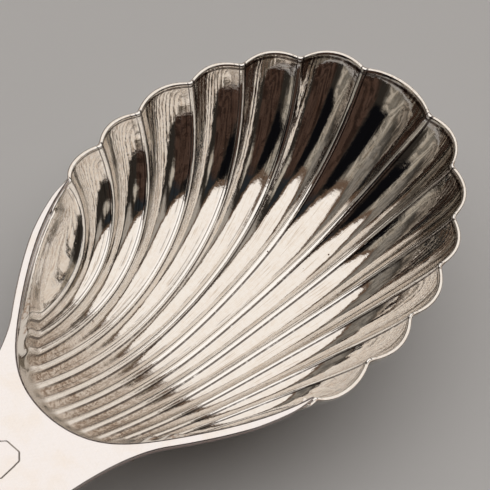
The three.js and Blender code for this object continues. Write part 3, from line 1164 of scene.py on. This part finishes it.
@dataclass
class HeelSolder(Piece):
    """The fillet of solder in the corner between the yoke's underside and the back of the bowl."""

    bowl: ShellBowl
    gap: float = 0.1
    leg: float = 0.8
    end_share: float = 0.4
    half_span: float = 7.5
    hollow_share: float = 0.16
    steps: int = 96
    face_steps: int = 10
    node = Node.SOLDER
    slot = Slot.SOLDER

    def path(self) -> Array:
        """Points of the corner that the solder fills, round the heel from +y to -y.

        Returns:
            The points.
        """
        angle = self.bowl.outline.angle_at_length(self.half_span)
        angles = np.linspace(angle, 2 * math.pi - angle, self.steps + 1)
        folded = np.where(angles > math.pi, 2 * math.pi - angles, angles)
        sides = np.where(angles > math.pi, -1.0, 1.0)[:, None] * np.array([[0.0, 1.0]])
        sides[:, 0] = 1.0
        out = self.bowl.solid_sheet + self.gap
        plan = (self.bowl.outline.point(folded) + self.bowl.outline.normal(folded) * out) * sides
        return np.column_stack([plan, np.zeros(len(plan))])

    def section(self) -> Array:
        """Cross-section of the fillet: two straight legs and a slightly hollow face.

        Returns:
            Its points, in the plane of x and y.
        """
        share = np.linspace(0, 1, self.face_steps + 1)
        face = np.column_stack([1 - share, share])
        face -= self.hollow_share * (4 * share * (1 - share))[:, None] * np.array([0.5, 0.5])
        section = np.concatenate([[[0.0, 0.0]], face]) * self.leg
        return np.column_stack([section, np.zeros(len(section))])

    def build(self, material: bpy.types.Material, rest: RestPlacement) -> bpy.types.Object:
        """Makes the solder.

        Args:
            material: the solder's silver.
            rest: how the spoon lies.

        Returns:
            The finished piece.
        """
        path = curve_object("solder_path", [self.path()])
        section = curve_object("solder_section", [self.section()], closed=True)
        maker = GeometryTree("solder_fillet")
        ends = (("Path", path), ("Section", section))
        drawn = [maker.size(name, made, "NodeSocketObject") for name, made in ends]
        line, profile = (maker.node("ObjectInfo", {"Object": made}, "Geometry") for made in drawn)
        end_share = maker.size("End share", self.end_share)
        share = maker.node("SplineParameter", {}, "Factor") * 2.0 - 1.0
        radius = (share * share).mixed(1.0, end_share)
        upright = maker.node("SetCurveNormal", {"Curve": line}, mode="Z_UP")
        sized = maker.node("SetCurveRadius", {"Curve": upright, "Radius": radius})
        inputs = {"Curve": sized, "Profile Curve": profile, "Fill Caps": True}
        fillet = maker.node("CurveToMesh", inputs)
        piece = maker.baked(fillet, material, "silver_heel_solder")
        bpy.data.objects.remove(path)
        bpy.data.objects.remove(section)
        return self.join(piece, rest)


@dataclass(frozen=True)
class Specks:
    """Round specks: how far apart their places lie, their largest radius, and the share of places filled."""

    spacing: float
    radius: float
    share: float


class Surface:
    """The node tree of a finish, with patterns measured in millimetres of the piece."""

    def __init__(self, name: str, metallic: float) -> None:
        """Starts a material.

        Args:
            name: the material's name.
            metallic: how far it is a metal.
        """
        self.material = bpy.data.materials.new(name)
        self.material.use_nodes = True
        self.tree = self.material.node_tree
        self.shader = self.tree.nodes["Principled BSDF"]
        self.shader.inputs["Metallic"].default_value = metallic

    def place(self) -> Field:
        """Where a point lies on the piece, in millimetres."""
        return added(self.tree, "ShaderNodeTexCoord", {}, "Object") * (1.0 / MM)

    def kept(self, name: str, output: str = "Fac") -> Field:
        """A value that the mesh holds at each of its points."""
        return added(self.tree, "ShaderNodeAttribute", {}, output, attribute_name=name)

    def uprightness(self) -> Field:
        """How steeply the surface stands, from 0 where it is level to 1 where it is a wall."""
        normal = added(self.tree, "ShaderNodeNewGeometry", {}, "Normal")
        return 1.0 - normal.part(2).apply("ABSOLUTE")

    def specks(self, place: Field, specks: Specks) -> Field:
        """Scattered round specks.

        Args:
            place: where they are read.
            specks: how they are strewn.

        Returns:
            1 inside a speck and 0 outside.
        """
        inputs = {"Vector": place, "Scale": 1.0 / specks.spacing}
        distance = added(self.tree, "ShaderNodeTexVoronoi", inputs, "Distance")
        chance = Field(self.tree, distance.socket.node.outputs["Color"]).part(0)
        reach = chance.apply("LESS_THAN", specks.share) * (chance / specks.share) * specks.radius
        return (distance * specks.spacing).apply("LESS_THAN", reach)

    def finished(self, colour: Field, roughness: Field, height: Field) -> bpy.types.Material:
        """Gives the surface its looks.

        Args:
            colour: its colour.
            roughness: its roughness, held between 0 and 1.
            height: its relief, in millimetres.

        Returns:
            The material.
        """
        relief = {"Strength": 1.0, "Distance": MM, "Height": height}
        normal = added(self.tree, "ShaderNodeBump", relief, "Normal")
        ends = {"Base Color": colour, "Roughness": roughness.clamped(), "Normal": normal}
        for name, value in ends.items():
            self.tree.links.new(value.socket, self.shader.inputs[name])
        return self.material


@dataclass(frozen=True)
class BowlSilver:
    """Bright stamped silver, never quite smooth, with tarnish left in the narrow ends of the flutes.

    A span runs from where a pattern starts to where it is full, a band from nothing over full to nothing.
    Those of the painted dark reflection lines, the painted crest highlight, the ridges and the lip are
    millimetres from a crest
    or the rim. The others are shares: of a flute's length from the heel, of its width from the nearer crest,
    or of a pattern's strength. The colour carries painted light: a highlight along the tops of the crests
    inside, dark reflections beside the crests and inside the rim, and shade that dims the level border at the
    heel and along the seam.
    """

    name: str = "bowl_silver"
    tint: Colour = (0.8, 0.773, 0.738)
    warm_tint: Colour = (0.75, 0.69, 0.625)
    # The painted highlight: a lighter tint along the tops of the crests inside, standing in for the softbox
    # that they reflect.
    crest_highlight_tint: Colour = (0.9, 0.885, 0.865)
    streak_tint: Colour = (0.46, 0.375, 0.3)
    heel_tint: Colour = (0.69, 0.64, 0.585)
    channel_tint: Colour = (0.5, 0.4, 0.315)
    # Painted shade: the grey that dims the level border at the heel and along the seam.
    border_shade_tint: Colour = (0.5, 0.465, 0.425)
    tarnish_tint: Colour = (0.25, 0.165, 0.11)
    # Painted dark reflection: the near-black of the lines beside the crests and inside the rim.
    dark_reflection_tint: Colour = (0.075, 0.055, 0.045)
    speck_tint: Colour = (0.1, 0.065, 0.045)

    flute_length: float = 46.0
    flute_width: float = 3.2
    draw_line_stretch: float = 24.0
    grain_stretch: float = 2.2
    mottle: Grain = Grain(0.5, 3.0, 0.6)
    cloud: Grain = Grain(3.0)
    pebble: Grain = Grain(0.3, 3.0, 0.4)
    ripple: Grain = Grain(1.5, 1.0)
    draw_line: Grain = Grain(0.15, 3.0)
    grain: Grain = Grain(0.17, 3.0, 0.3)
    specks: Specks = Specks(spacing=1.1, radius=0.09, share=0.45)

    side_turn: Span = (0.4, 0.6)
    channel: Span = (0.14, 0.26)
    heel: Band = (0.03, 0.055, 0.08, 0.34)
    heel_end: Span = (0.1, 0.42)
    heel_weight: Span = (0.15, 0.8)
    heel_border: Span = (0.018, 0.034)
    lip_border: Span = (0.5, 0.9)
    lip_border_end: Span = (0.2, 0.45)

    patch_mix: tuple[float, float, float] = (0.3, 0.6, 0.1)
    patch_edge: Span = (0.44, 0.58)
    patch_weight: Span = (0.12, 0.82)
    groove: Span = (0.02, 0.16)
    groove_patches: Span = (0.35, 0.65)
    groove_weight: float = 0.6
    channel_patches: Span = (0.3, 0.6)
    channel_weight: float = 0.4
    speck_patches: Span = (0.44, 0.6)

    # Painted dark reflections: where the dark lines beside the crests and inside the rim lie, and how dark
    # they are.
    dark_reflection_band: Band = (0.22, 0.26, 0.3, 0.35)
    dark_reflection_band_weight: float = 0.8
    shaded_side_reflection_band: Band = (0.2, 0.25, 0.36, 0.45)
    second_reflection_band: Band = (0.6, 0.66, 0.71, 0.77)
    second_reflection_patches: Span = (0.4, 0.55)
    second_reflection_weight: float = 0.5
    line_start: Span = (0.03, 0.12)
    line_gaps: Span = (0.25, 0.5)
    rim_reflection_band: Band = (0.9885, 0.991, 0.9935, 0.9955)
    dark_reflection_weight: float = 0.9

    warm_patches: Span = (0.35, 0.75)
    warm_patch_weight: float = 0.6
    warm_lines: Span = (0.4, 0.7)
    warm_line_weight: float = 0.4
    warm_grain: Span = (0.4, 0.75)
    warm_grain_weight: float = 0.3
    streak_edge: Span = (0.56, 0.66)
    streak_patches: Span = (0.35, 0.6)
    streak_margin: Span = (0.1, 0.2)
    streak_weight: float = 0.55
    crest_highlight_span: Span = (0.3, 0.55)

    roughness: float = 0.045
    mottle_roughness: float = 0.04
    heel_roughness: float = 0.015
    tarnish_roughness: float = 0.3
    speck_roughness: float = 0.3

    ridge_edge: Span = (0.19, 0.3)
    ridge_start: Span = (0.03, 0.15)
    ridge_height: float = 0.03
    pebble_height: float = 0.007
    ripple_height: float = 0.022
    draw_line_height: float = 0.006
    tarnish_height: float = 0.02
    speck_depth: float = 0.01
    smooth_width: float = 2.0
    smoothing: float = 0.5

    def material(self) -> bpy.types.Material:
        """The finish as a material.

        Returns:
            The material.
        """
        surface = Surface(self.name, 1.0)
        on = ShellPatterns(surface, self)
        tarnish = self.tarnished(on)
        specks = surface.specks(on.place, self.specks) * on.cloud.stepped(*self.speck_patches)
        colour = self.coloured(on, tarnish, specks)
        roughness = on.mottle.swing(self.mottle_roughness) + self.roughness + on.dull * self.heel_roughness
        roughness = roughness + tarnish * (self.tarnish_roughness - self.roughness)
        roughness = roughness + specks * self.speck_roughness
        return surface.finished(colour, roughness, self.raised(on, tarnish, specks))

    def tarnished(self, on: "ShellPatterns") -> Field:
        """Brown tarnish: inside in patches along the channels of the heel, outside in the grooves.

        Args:
            on: the patterns on the shell.

        Returns:
            How much of it covers a point.
        """
        parts = [pattern * share for pattern, share in zip((on.mottle, on.grain, on.cloud), self.patch_mix)]
        patches = (parts[0] + parts[1] + parts[2]).stepped(*self.patch_edge)
        inner = (on.channel * on.heel * patches.mixed(*self.patch_weight) * on.inside).clamped()
        groove = (1.0 - on.from_crest.stepped(*self.groove)) * on.outside
        return inner.apply("MAXIMUM", groove * on.mottle.stepped(*self.groove_patches) * self.groove_weight)

    def painted_dark_reflections(self, on: "ShellPatterns") -> Field:
        """Painted dark reflections: dark lines beside the crests and inside the rim, broken in places.

        Args:
            on: the patterns on the shell.

        Returns:
            How dark the lines are at a point.
        """
        # Painted dark reflections of the dark room in the steep sides beside each crest, and a dark line just
        # inside the rim.
        line = on.off_crest.banded(self.dark_reflection_band) * self.dark_reflection_band_weight
        shaded = on.off_crest.banded(self.shaded_side_reflection_band) * on.share.apply("LESS_THAN", 0.5)
        second = on.off_crest.banded(self.second_reflection_band) * on.share.apply("GREATER_THAN", 0.5)
        second = second * on.cloud.stepped(*self.second_reflection_patches) * self.second_reflection_weight
        lines = line.apply("MAXIMUM", shaded).apply("MAXIMUM", second) * on.along.stepped(*self.line_start)
        unbroken = ((on.mottle + on.lines) * 0.5).stepped(*self.line_gaps)
        return lines.apply("MAXIMUM", on.along.banded(self.rim_reflection_band)) * unbroken * on.inside

    def shaded_border(self, on: "ShellPatterns") -> Field:
        """Painted shade on the level border of the sheet inside, at the heel and along the seam, dimming its
        reflection to grey.

        Args:
            on: the patterns on the shell.

        Returns:
            How much of it covers a point.
        """
        lip = 1.0 - on.surface.kept(RIM_DISTANCE).stepped(*self.lip_border)
        lip = lip * (1.0 - on.along.stepped(*self.lip_border_end))
        return (1.0 - on.along.stepped(*self.heel_border)).apply("MAXIMUM", lip) * on.inside

    def coloured(self, on: "ShellPatterns", tarnish: Field, specks: Field) -> Field:
        """The colour, laid on in layers.

        Args:
            on: the patterns on the shell.
            tarnish: where it is tarnished.
            specks: where it has specks.

        Returns:
            The colour.
        """
        warm = on.mottle.stepped(*self.warm_patches) * self.warm_patch_weight
        warm = warm + on.lines.stepped(*self.warm_lines) * self.warm_line_weight
        warm = warm + on.grain.stepped(*self.warm_grain) * self.warm_grain_weight
        # Painted highlight: the tops of the crests inside are lightened, standing in for the softbox that
        # they reflect.
        crest_highlight = (1.0 - on.off_crest.stepped(*self.crest_highlight_span)) * on.inside
        streaks = on.lines.stepped(*self.streak_edge) * on.cloud.stepped(*self.streak_patches)
        streaks = streaks * on.from_crest.stepped(*self.streak_margin) * on.inside
        stains = on.channel * on.heel * on.cloud.stepped(*self.channel_patches) * on.inside
        layers = (
            (warm, self.warm_tint),
            (crest_highlight, self.crest_highlight_tint),
            (streaks * self.streak_weight, self.streak_tint),
            (on.dull * on.channel.mixed(*self.heel_weight), self.heel_tint),
            (stains * self.channel_weight, self.channel_tint),
            # painted shade on the level border at the heel and along the seam
            (self.shaded_border(on), self.border_shade_tint),
            (tarnish, self.tarnish_tint),
            (self.painted_dark_reflections(on) * self.dark_reflection_weight, self.dark_reflection_tint),
            (specks, self.speck_tint),
        )
        colour = self.tint
        for cover, tint in layers:
            colour = cover.blended(colour, tint)
        return colour

    def raised(self, on: "ShellPatterns", tarnish: Field, specks: Field) -> Field:
        """The relief: ridges along the crests, and the unevenness of stamped sheet.

        Args:
            on: the patterns on the shell.
            tarnish: where it is tarnished.
            specks: where it has specks.

        Returns:
            The height, in millimetres.
        """
        middle = (on.off_crest / self.smooth_width).clamped()
        ridge = (1.0 - on.off_crest.stepped(*self.ridge_edge)) * on.along.stepped(*self.ridge_start)
        height = on.pebble.swing(self.pebble_height) * (1.0 - middle * self.smoothing)
        height = height + on.ripple.swing(self.ripple_height) + on.lines.swing(self.draw_line_height)
        height = height + on.mottle.swing(tarnish) * self.tarnish_height - specks * self.speck_depth
        return height + ridge * on.inside * self.ridge_height


class ShellPatterns:
    """What the bowl's finish reads: where a point lies on the shell, and the patterns there."""

    def __init__(self, surface: Surface, silver: BowlSilver) -> None:
        """Reads the place and the patterns.

        Args:
            surface: the finish's node tree.
            silver: the finish's sizes.
        """
        self.surface = surface
        self.place = place = surface.place()
        shell = surface.kept(SHELL_PLACE, "Vector")
        across, self.along, side = (shell.part(axis) for axis in range(3))
        self.share = across.apply("FRACT")
        self.from_crest = 0.5 - (self.share - 0.5).apply("ABSOLUTE")
        self.off_crest = self.from_crest * surface.kept(FLUTE_WIDTH)
        self.outside = side.stepped(*silver.side_turn)
        self.inside = 1.0 - self.outside
        self.mottle = place.noise(silver.mottle)
        self.cloud = place.noise(silver.cloud)
        self.pebble = place.noise(silver.pebble)
        self.ripple = place.noise(silver.ripple)
        stretched = self.along * (silver.flute_length / silver.draw_line_stretch)
        self.lines = joined_vector(across * silver.flute_width, stretched, side).noise(silver.draw_line)
        drawn = place.part(0) * (1.0 / silver.grain_stretch)
        self.grain = joined_vector(drawn, place.part(1), place.part(2)).noise(silver.grain)
        self.channel = self.from_crest.stepped(*silver.channel)
        self.heel = self.along.banded(silver.heel)
        self.dull = (1.0 - self.along.stepped(*silver.heel_end)) * self.inside


@dataclass(frozen=True)
class HandleSilver:
    """Flat polished silver with soft wear: cloudy and with fine scratches, with painted shade dark along its
    seam and brown on the steep sides of its edges.
    """

    name: str = "handle_silver"
    tint: Colour = (0.825, 0.80, 0.80)
    warm_tint: Colour = (0.82, 0.77, 0.73)
    # Painted shade: the brown laid on the steep sides of the edges.
    edge_shade_tint: Colour = (0.3, 0.2, 0.17)
    # Painted shade: the near-black laid in the gap where the handle meets the bowl.
    seam_shade_tint: Colour = (0.07, 0.05, 0.045)
    cloud: Grain = Grain(2.6, 3.0, 0.5)
    fine: Grain = Grain(0.3, 3.0)
    wave: Grain = Grain(4.5, 1.0)
    scratch: Grain = Grain(0.12, 2.0)
    scratch_stretch: float = 18.0
    scratch_angles: tuple[float, ...] = (0.35, 1.3, 2.5)
    warm_patches: Span = (0.42, 0.7)
    warm_patch_weight: float = 0.7
    warm_specks: Span = (0.4, 0.7)
    warm_speck_weight: float = 0.2
    wall: Span = (0.35, 0.75)
    edge_shade_weight: float = 0.8
    # Where the painted shade of the seam lies, in millimetres outside the seam.
    seam_line: Band = (0.03, 0.06, 0.16, 0.2)
    seam_shade_weight: Span = (0.6, 1.2)
    roughness: float = 0.2
    scratch_roughness: float = 0.3
    cloud_roughness: float = 0.1
    seam_shade_roughness: float = 0.3
    fine_height: float = 0.0006
    wave_height: float = 0.012
    scratch_height: float = 0.0015

    def scratched(self, place: Field) -> Field:
        """Fine scratches in three directions.

        Args:
            place: where they are read.

        Returns:
            A pattern between 0 and 1.
        """
        scratches = None
        for angle in self.scratch_angles:
            along = place.part(0) * math.cos(angle) + place.part(1) * math.sin(angle)
            square = place.part(1) * math.cos(angle) - place.part(0) * math.sin(angle)
            drawn = joined_vector(along * (1.0 / self.scratch_stretch), square, place.part(2))
            streak = drawn.noise(self.scratch)
            scratches = streak if scratches is None else scratches + streak
        return scratches * (1.0 / len(self.scratch_angles))

    def material(self) -> bpy.types.Material:
        """The finish as a material.

        Returns:
            The material.
        """
        surface = Surface(self.name, 1.0)
        place = surface.place()
        cloud, fine, wave = (place.noise(grain) for grain in (self.cloud, self.fine, self.wave))
        # How steep the surface stands: it sets the painted shade on the steep sides of the edges, and fades
        # the scratches there.
        wall = surface.uprightness().stepped(*self.wall)
        warm = cloud.stepped(*self.warm_patches) * self.warm_patch_weight
        warm = warm + fine.stepped(*self.warm_specks) * self.warm_speck_weight
        # Painted shade: a dark line in the gap where the handle meets the bowl, standing in for its shadow.
        seam_shade = surface.kept(SEAM_DISTANCE).banded(self.seam_line) * fine.mixed(*self.seam_shade_weight).clamped()
        colour = warm.blended(self.tint, self.warm_tint)
        # Painted shade: the steep sides of the edges are darkened brown by their slope.
        colour = (wall * self.edge_shade_weight).blended(colour, self.edge_shade_tint)
        colour = seam_shade.blended(colour, self.seam_shade_tint)
        scratches = self.scratched(place).swing(1.0 - wall)
        roughness = scratches * self.scratch_roughness + cloud.swing(self.cloud_roughness)
        roughness = roughness + self.roughness + seam_shade * self.seam_shade_roughness
        height = fine.swing(self.fine_height) + wave.swing(self.wave_height)
        return surface.finished(colour, roughness, height + scratches * self.scratch_height)


@dataclass(frozen=True)
class SolderSilver:
    """Hard solder, dressed smooth by hand and left a little dull, with tarnish in its low places."""

    name: str = "solder_silver"
    tint: Colour = (0.82, 0.79, 0.74)
    tarnish_tint: Colour = (0.5, 0.37, 0.26)
    cloud: Grain = Grain(0.9, 3.0, 0.8)
    fine: Grain = Grain(0.18, 3.0)
    tarnish_patches: Span = (0.45, 0.75)
    roughness: float = 0.34
    fine_roughness: float = 0.3
    cloud_roughness: float = 0.2
    cloud_height: float = 0.05
    fine_height: float = 0.006

    def material(self) -> bpy.types.Material:
        """The finish as a material.

        Returns:
            The material.
        """
        surface = Surface(self.name, 1.0)
        cloud, fine = (surface.place().noise(grain) for grain in (self.cloud, self.fine))
        colour = cloud.stepped(*self.tarnish_patches).blended(self.tint, self.tarnish_tint)
        roughness = fine.swing(self.fine_roughness) + cloud.swing(self.cloud_roughness) + self.roughness
        height = cloud.swing(self.cloud_height) + fine.swing(self.fine_height)
        return surface.finished(colour, roughness, height)


@dataclass(frozen=True)
class FloorPaper:
    """Pale matt paper."""

    name: str = "floor_paper"
    tint: Colour = (0.61, 0.62, 0.635)
    cloud_tint: Colour = (0.59, 0.6, 0.615)
    cloud: Grain = Grain(60.0)
    fibre: Grain = Grain(0.8, 3.0)
    roughness: float = 0.9
    fibre_roughness: float = 0.1
    fibre_height: float = 0.004

    def material(self) -> bpy.types.Material:
        """The finish as a material.

        Returns:
            The material.
        """
        surface = Surface(self.name, 0.0)
        cloud, fibre = (surface.place().noise(grain) for grain in (self.cloud, self.fibre))
        roughness = fibre.swing(self.fibre_roughness) + self.roughness
        colour = cloud.blended(self.cloud_tint, self.tint)
        return surface.finished(colour, roughness, fibre.swing(self.fibre_height))


@dataclass(frozen=True)
class PhotoCamera:
    """The camera, placed in the spoon's own frame and then carried to the table's."""

    forward: Point = (0.42219016, 0.30585984, -0.85334942)
    right: Point = (0.65667472, -0.75214368, 0.05530098)
    down: Point = (-0.62492702, -0.58372052, -0.51839808)
    offset: Point = (-16.06196158, 14.35615372, 132.68317527)
    focal_pixels: float = 1611.68
    image_pixels: float = 490.0
    sensor: float = 36.0
    clip: Span = (0.01, 10.0)

    def build(self, rest: RestPlacement) -> None:
        """Makes the camera and gives it to the scene.

        Args:
            rest: how the spoon lies.
        """
        axes = Matrix((self.right, self.down, self.forward))
        centre = -(axes.transposed() @ Vector(self.offset)) * MM
        up, back = (tuple(-part for part in axis) for axis in (self.down, self.forward))
        turned = Matrix((self.right, up, back)).transposed()
        data = bpy.data.cameras.new("camera")
        data.sensor_width = self.sensor
        data.lens = self.focal_pixels / self.image_pixels * self.sensor
        data.clip_start, data.clip_end = self.clip
        made = linked("camera", data)
        made.matrix_world = rest.matrix() @ Matrix.Translation(centre) @ turned.to_4x4()
        bpy.context.scene.camera = made


def towards(across_degrees: float, up_degrees: float) -> Vector:
    """A direction from the spoon, given as a place on a map of the sky.

    Args:
        across_degrees: how far from overhead towards +x.
        up_degrees: how far from overhead towards +y.

    Returns:
        The unit vector.
    """
    polar = math.radians(math.hypot(across_degrees, up_degrees))
    azimuth = math.atan2(up_degrees, across_degrees)
    flat = math.sin(polar)
    return Vector((flat * math.cos(azimuth), flat * math.sin(azimuth), math.cos(polar)))


@dataclass(frozen=True)
class Panel:
    """A flat-sided patch of light or dark in the studio, its corners on a map of the sky in degrees.

    Its softness is half the width of its blurred edge, in degrees. Its grain is how far rings like those of
    wood darken it.
    """

    name: str
    colour: Colour
    softness: float
    corners: tuple[Span, ...]
    grain: float = 0.0

    def coverage(self, direction: Field) -> Field:
        """How much of the panel covers a direction.

        Args:
            direction: which way the sky is looked at.

        Returns:
            The cover, from 0 to 1.
        """
        points = [towards(*corner) for corner in self.corners]
        middle = sum(points, Vector((0.0, 0.0, 0.0)))
        reach = math.radians(self.softness)
        covered = None
        for start, end in zip(points, points[1:] + points[:1]):
            inward = start.cross(end).normalized()
            inward = inward if inward.dot(middle) > 0 else -inward
            edge = direction.apply("DOT_PRODUCT", tuple(inward)).stepped(-reach, reach)
            covered = edge if covered is None else covered * edge
        return covered


@dataclass
class Studio:
    """The floor and the light: a dark room with a large softbox overhead, dim walls, cards and cloths."""

    room: Colour = (0.028, 0.024, 0.02)
    backdrop: Colour = (0.45, 0.45, 0.45)
    wood: Grain = Grain(0.4, 1.0, 0.6)
    wood_rings: float = 8.0
    floor_size: float = 3.0
    panels: tuple[Panel, ...] = (
        Panel(
            "near wall", (0.46, 0.43, 0.39), 5.0,
            ((62, -34), (60, -54), (70, -70), (96, -60), (96, -32)),
        ),
        Panel("near card", (0.42, 0.385, 0.345), 4.0, ((6, -36), (44, -42), (38, -56), (12, -60))),
        Panel(
            "front wall", (0.46, 0.43, 0.39), 5.0,
            ((66, 34), (52, 52), (28, 72), (40, 88), (96, 60), (96, 34)),
        ),
        Panel(
            "wooden wall", (0.4, 0.34, 0.28), 3.0,
            ((-92, 38), (-68, 38), (-45, 60), (-5, 74), (0, 96), (-62, 92)), 0.9,
        ),
        Panel(
            "left wall", (0.52, 0.465, 0.39), 5.0,
            ((-92, 0), (-38, 10), (-36, 34), (-75, 46), (-92, 40)), 0.75,
        ),
        Panel(
            "far wall", (0.31, 0.28, 0.245), 5.0,
            ((-50, 34), (0, 44), (52, 42), (48, 70), (-8, 74), (-60, 50)), 0.6,
        ),
        Panel("right wall", (0.46, 0.39, 0.31), 4.0, ((57, -38), (58, 30), (84, 32), (84, -38)), 0.85),
        Panel("right gap", (0.08, 0.07, 0.06), 3.0, ((60, 4), (60, 28), (73, 26), (73, 4))),
        Panel(
            "softbox frame", (0.15, 0.1, 0.07), 1.0,
            (
                (-42, -5), (-31, -16), (-22, -29), (0, -36), (48, -43),
                (65, -13), (65, 31), (43, 54), (-1, 53), (-42, 34),
            ),
        ),
        Panel(
            "softbox", (1.12, 1.06, 1.0), 1.5,
            (
                (-37, -4), (-27, -14), (-20, -25), (0, -31), (45, -38),
                (60, -12), (60, 28), (40, 49), (0, 48), (-37, 31),
            ),
        ),
        Panel(
            "black cloth", (0.004, 0.004, 0.005), 2.5,
            ((-68, 24), (-40, 13), (-38, -3), (-28, -13), (-30, -21), (-70, -14)),
        ),
        Panel(
            "grey cloth", (0.02, 0.024, 0.028), 2.5,
            ((-30, -12), (-20, -25), (0, -32), (0, -45), (-15, -48), (-30, -28)),
        ),
        Panel(
            "brown cloth", (0.085, 0.051, 0.038), 4.0,
            ((-72, -17), (-30, -23), (-16, -45), (-16, -60), (-40, -92), (-92, -30)), 0.75,
        ),
        Panel("small card", (0.55, 0.5, 0.43), 3.0, ((-18, -53), (-2, -51), (0, -62), (-14, -63))),
    )

    def light(self) -> None:
        """Gives the world its panels, with a plain backdrop where the camera sees past the floor."""
        world = bpy.data.worlds.new("studio")
        bpy.context.scene.world = world
        world.use_nodes = True
        tree = world.node_tree
        direction = added(tree, "ShaderNodeTexCoord", {}, "Generated")
        rings = (direction.noise(self.wood) * self.wood_rings).apply("FRACT")
        dark = 1.0 - (rings - 0.5).apply("ABSOLUTE") * 2.0
        colour = self.room
        for panel in self.panels:
            shade = 1.0 - dark * panel.grain
            coloured = joined_vector(*(shade * part for part in panel.colour))
            colour = panel.coverage(direction).blended(colour, coloured)
            LOG.info("studio: %s", panel.name)
        seen = added(tree, "ShaderNodeLightPath", {}, "Is Camera Ray")
        colour = seen.blended(colour, self.backdrop)
        tree.links.new(colour.socket, tree.nodes["Background"].inputs["Color"])

    def lay_floor(self) -> None:
        """Lays the floor under the spoon."""
        mesh = bpy.data.meshes.new("floor")
        half = self.floor_size / 2
        corners = [(-half, -half, 0.0), (half, -half, 0.0), (half, half, 0.0), (-half, half, 0.0)]
        mesh.from_pydata(corners, [], [(0, 1, 2, 3)])
        mesh.materials.append(FloorPaper().material())
        linked("floor", mesh)


def main() -> None:
    """Builds the spoon and its studio in order."""
    logging.basicConfig(level=logging.INFO, format="%(name)s: %(message)s")
    bpy.context.scene.view_settings.view_transform = "Standard"
    rest = RestPlacement()
    bowl = ShellBowl()
    bowl.build(BowlSilver().material(), rest)
    Handle(bowl).build(HandleSilver().material(), rest)
    HeelSolder(bowl).build(SolderSilver().material(), rest)
    PhotoCamera().build(rest)
    studio = Studio()
    studio.lay_floor()
    studio.light()


if __name__ == "__main__":
    main()
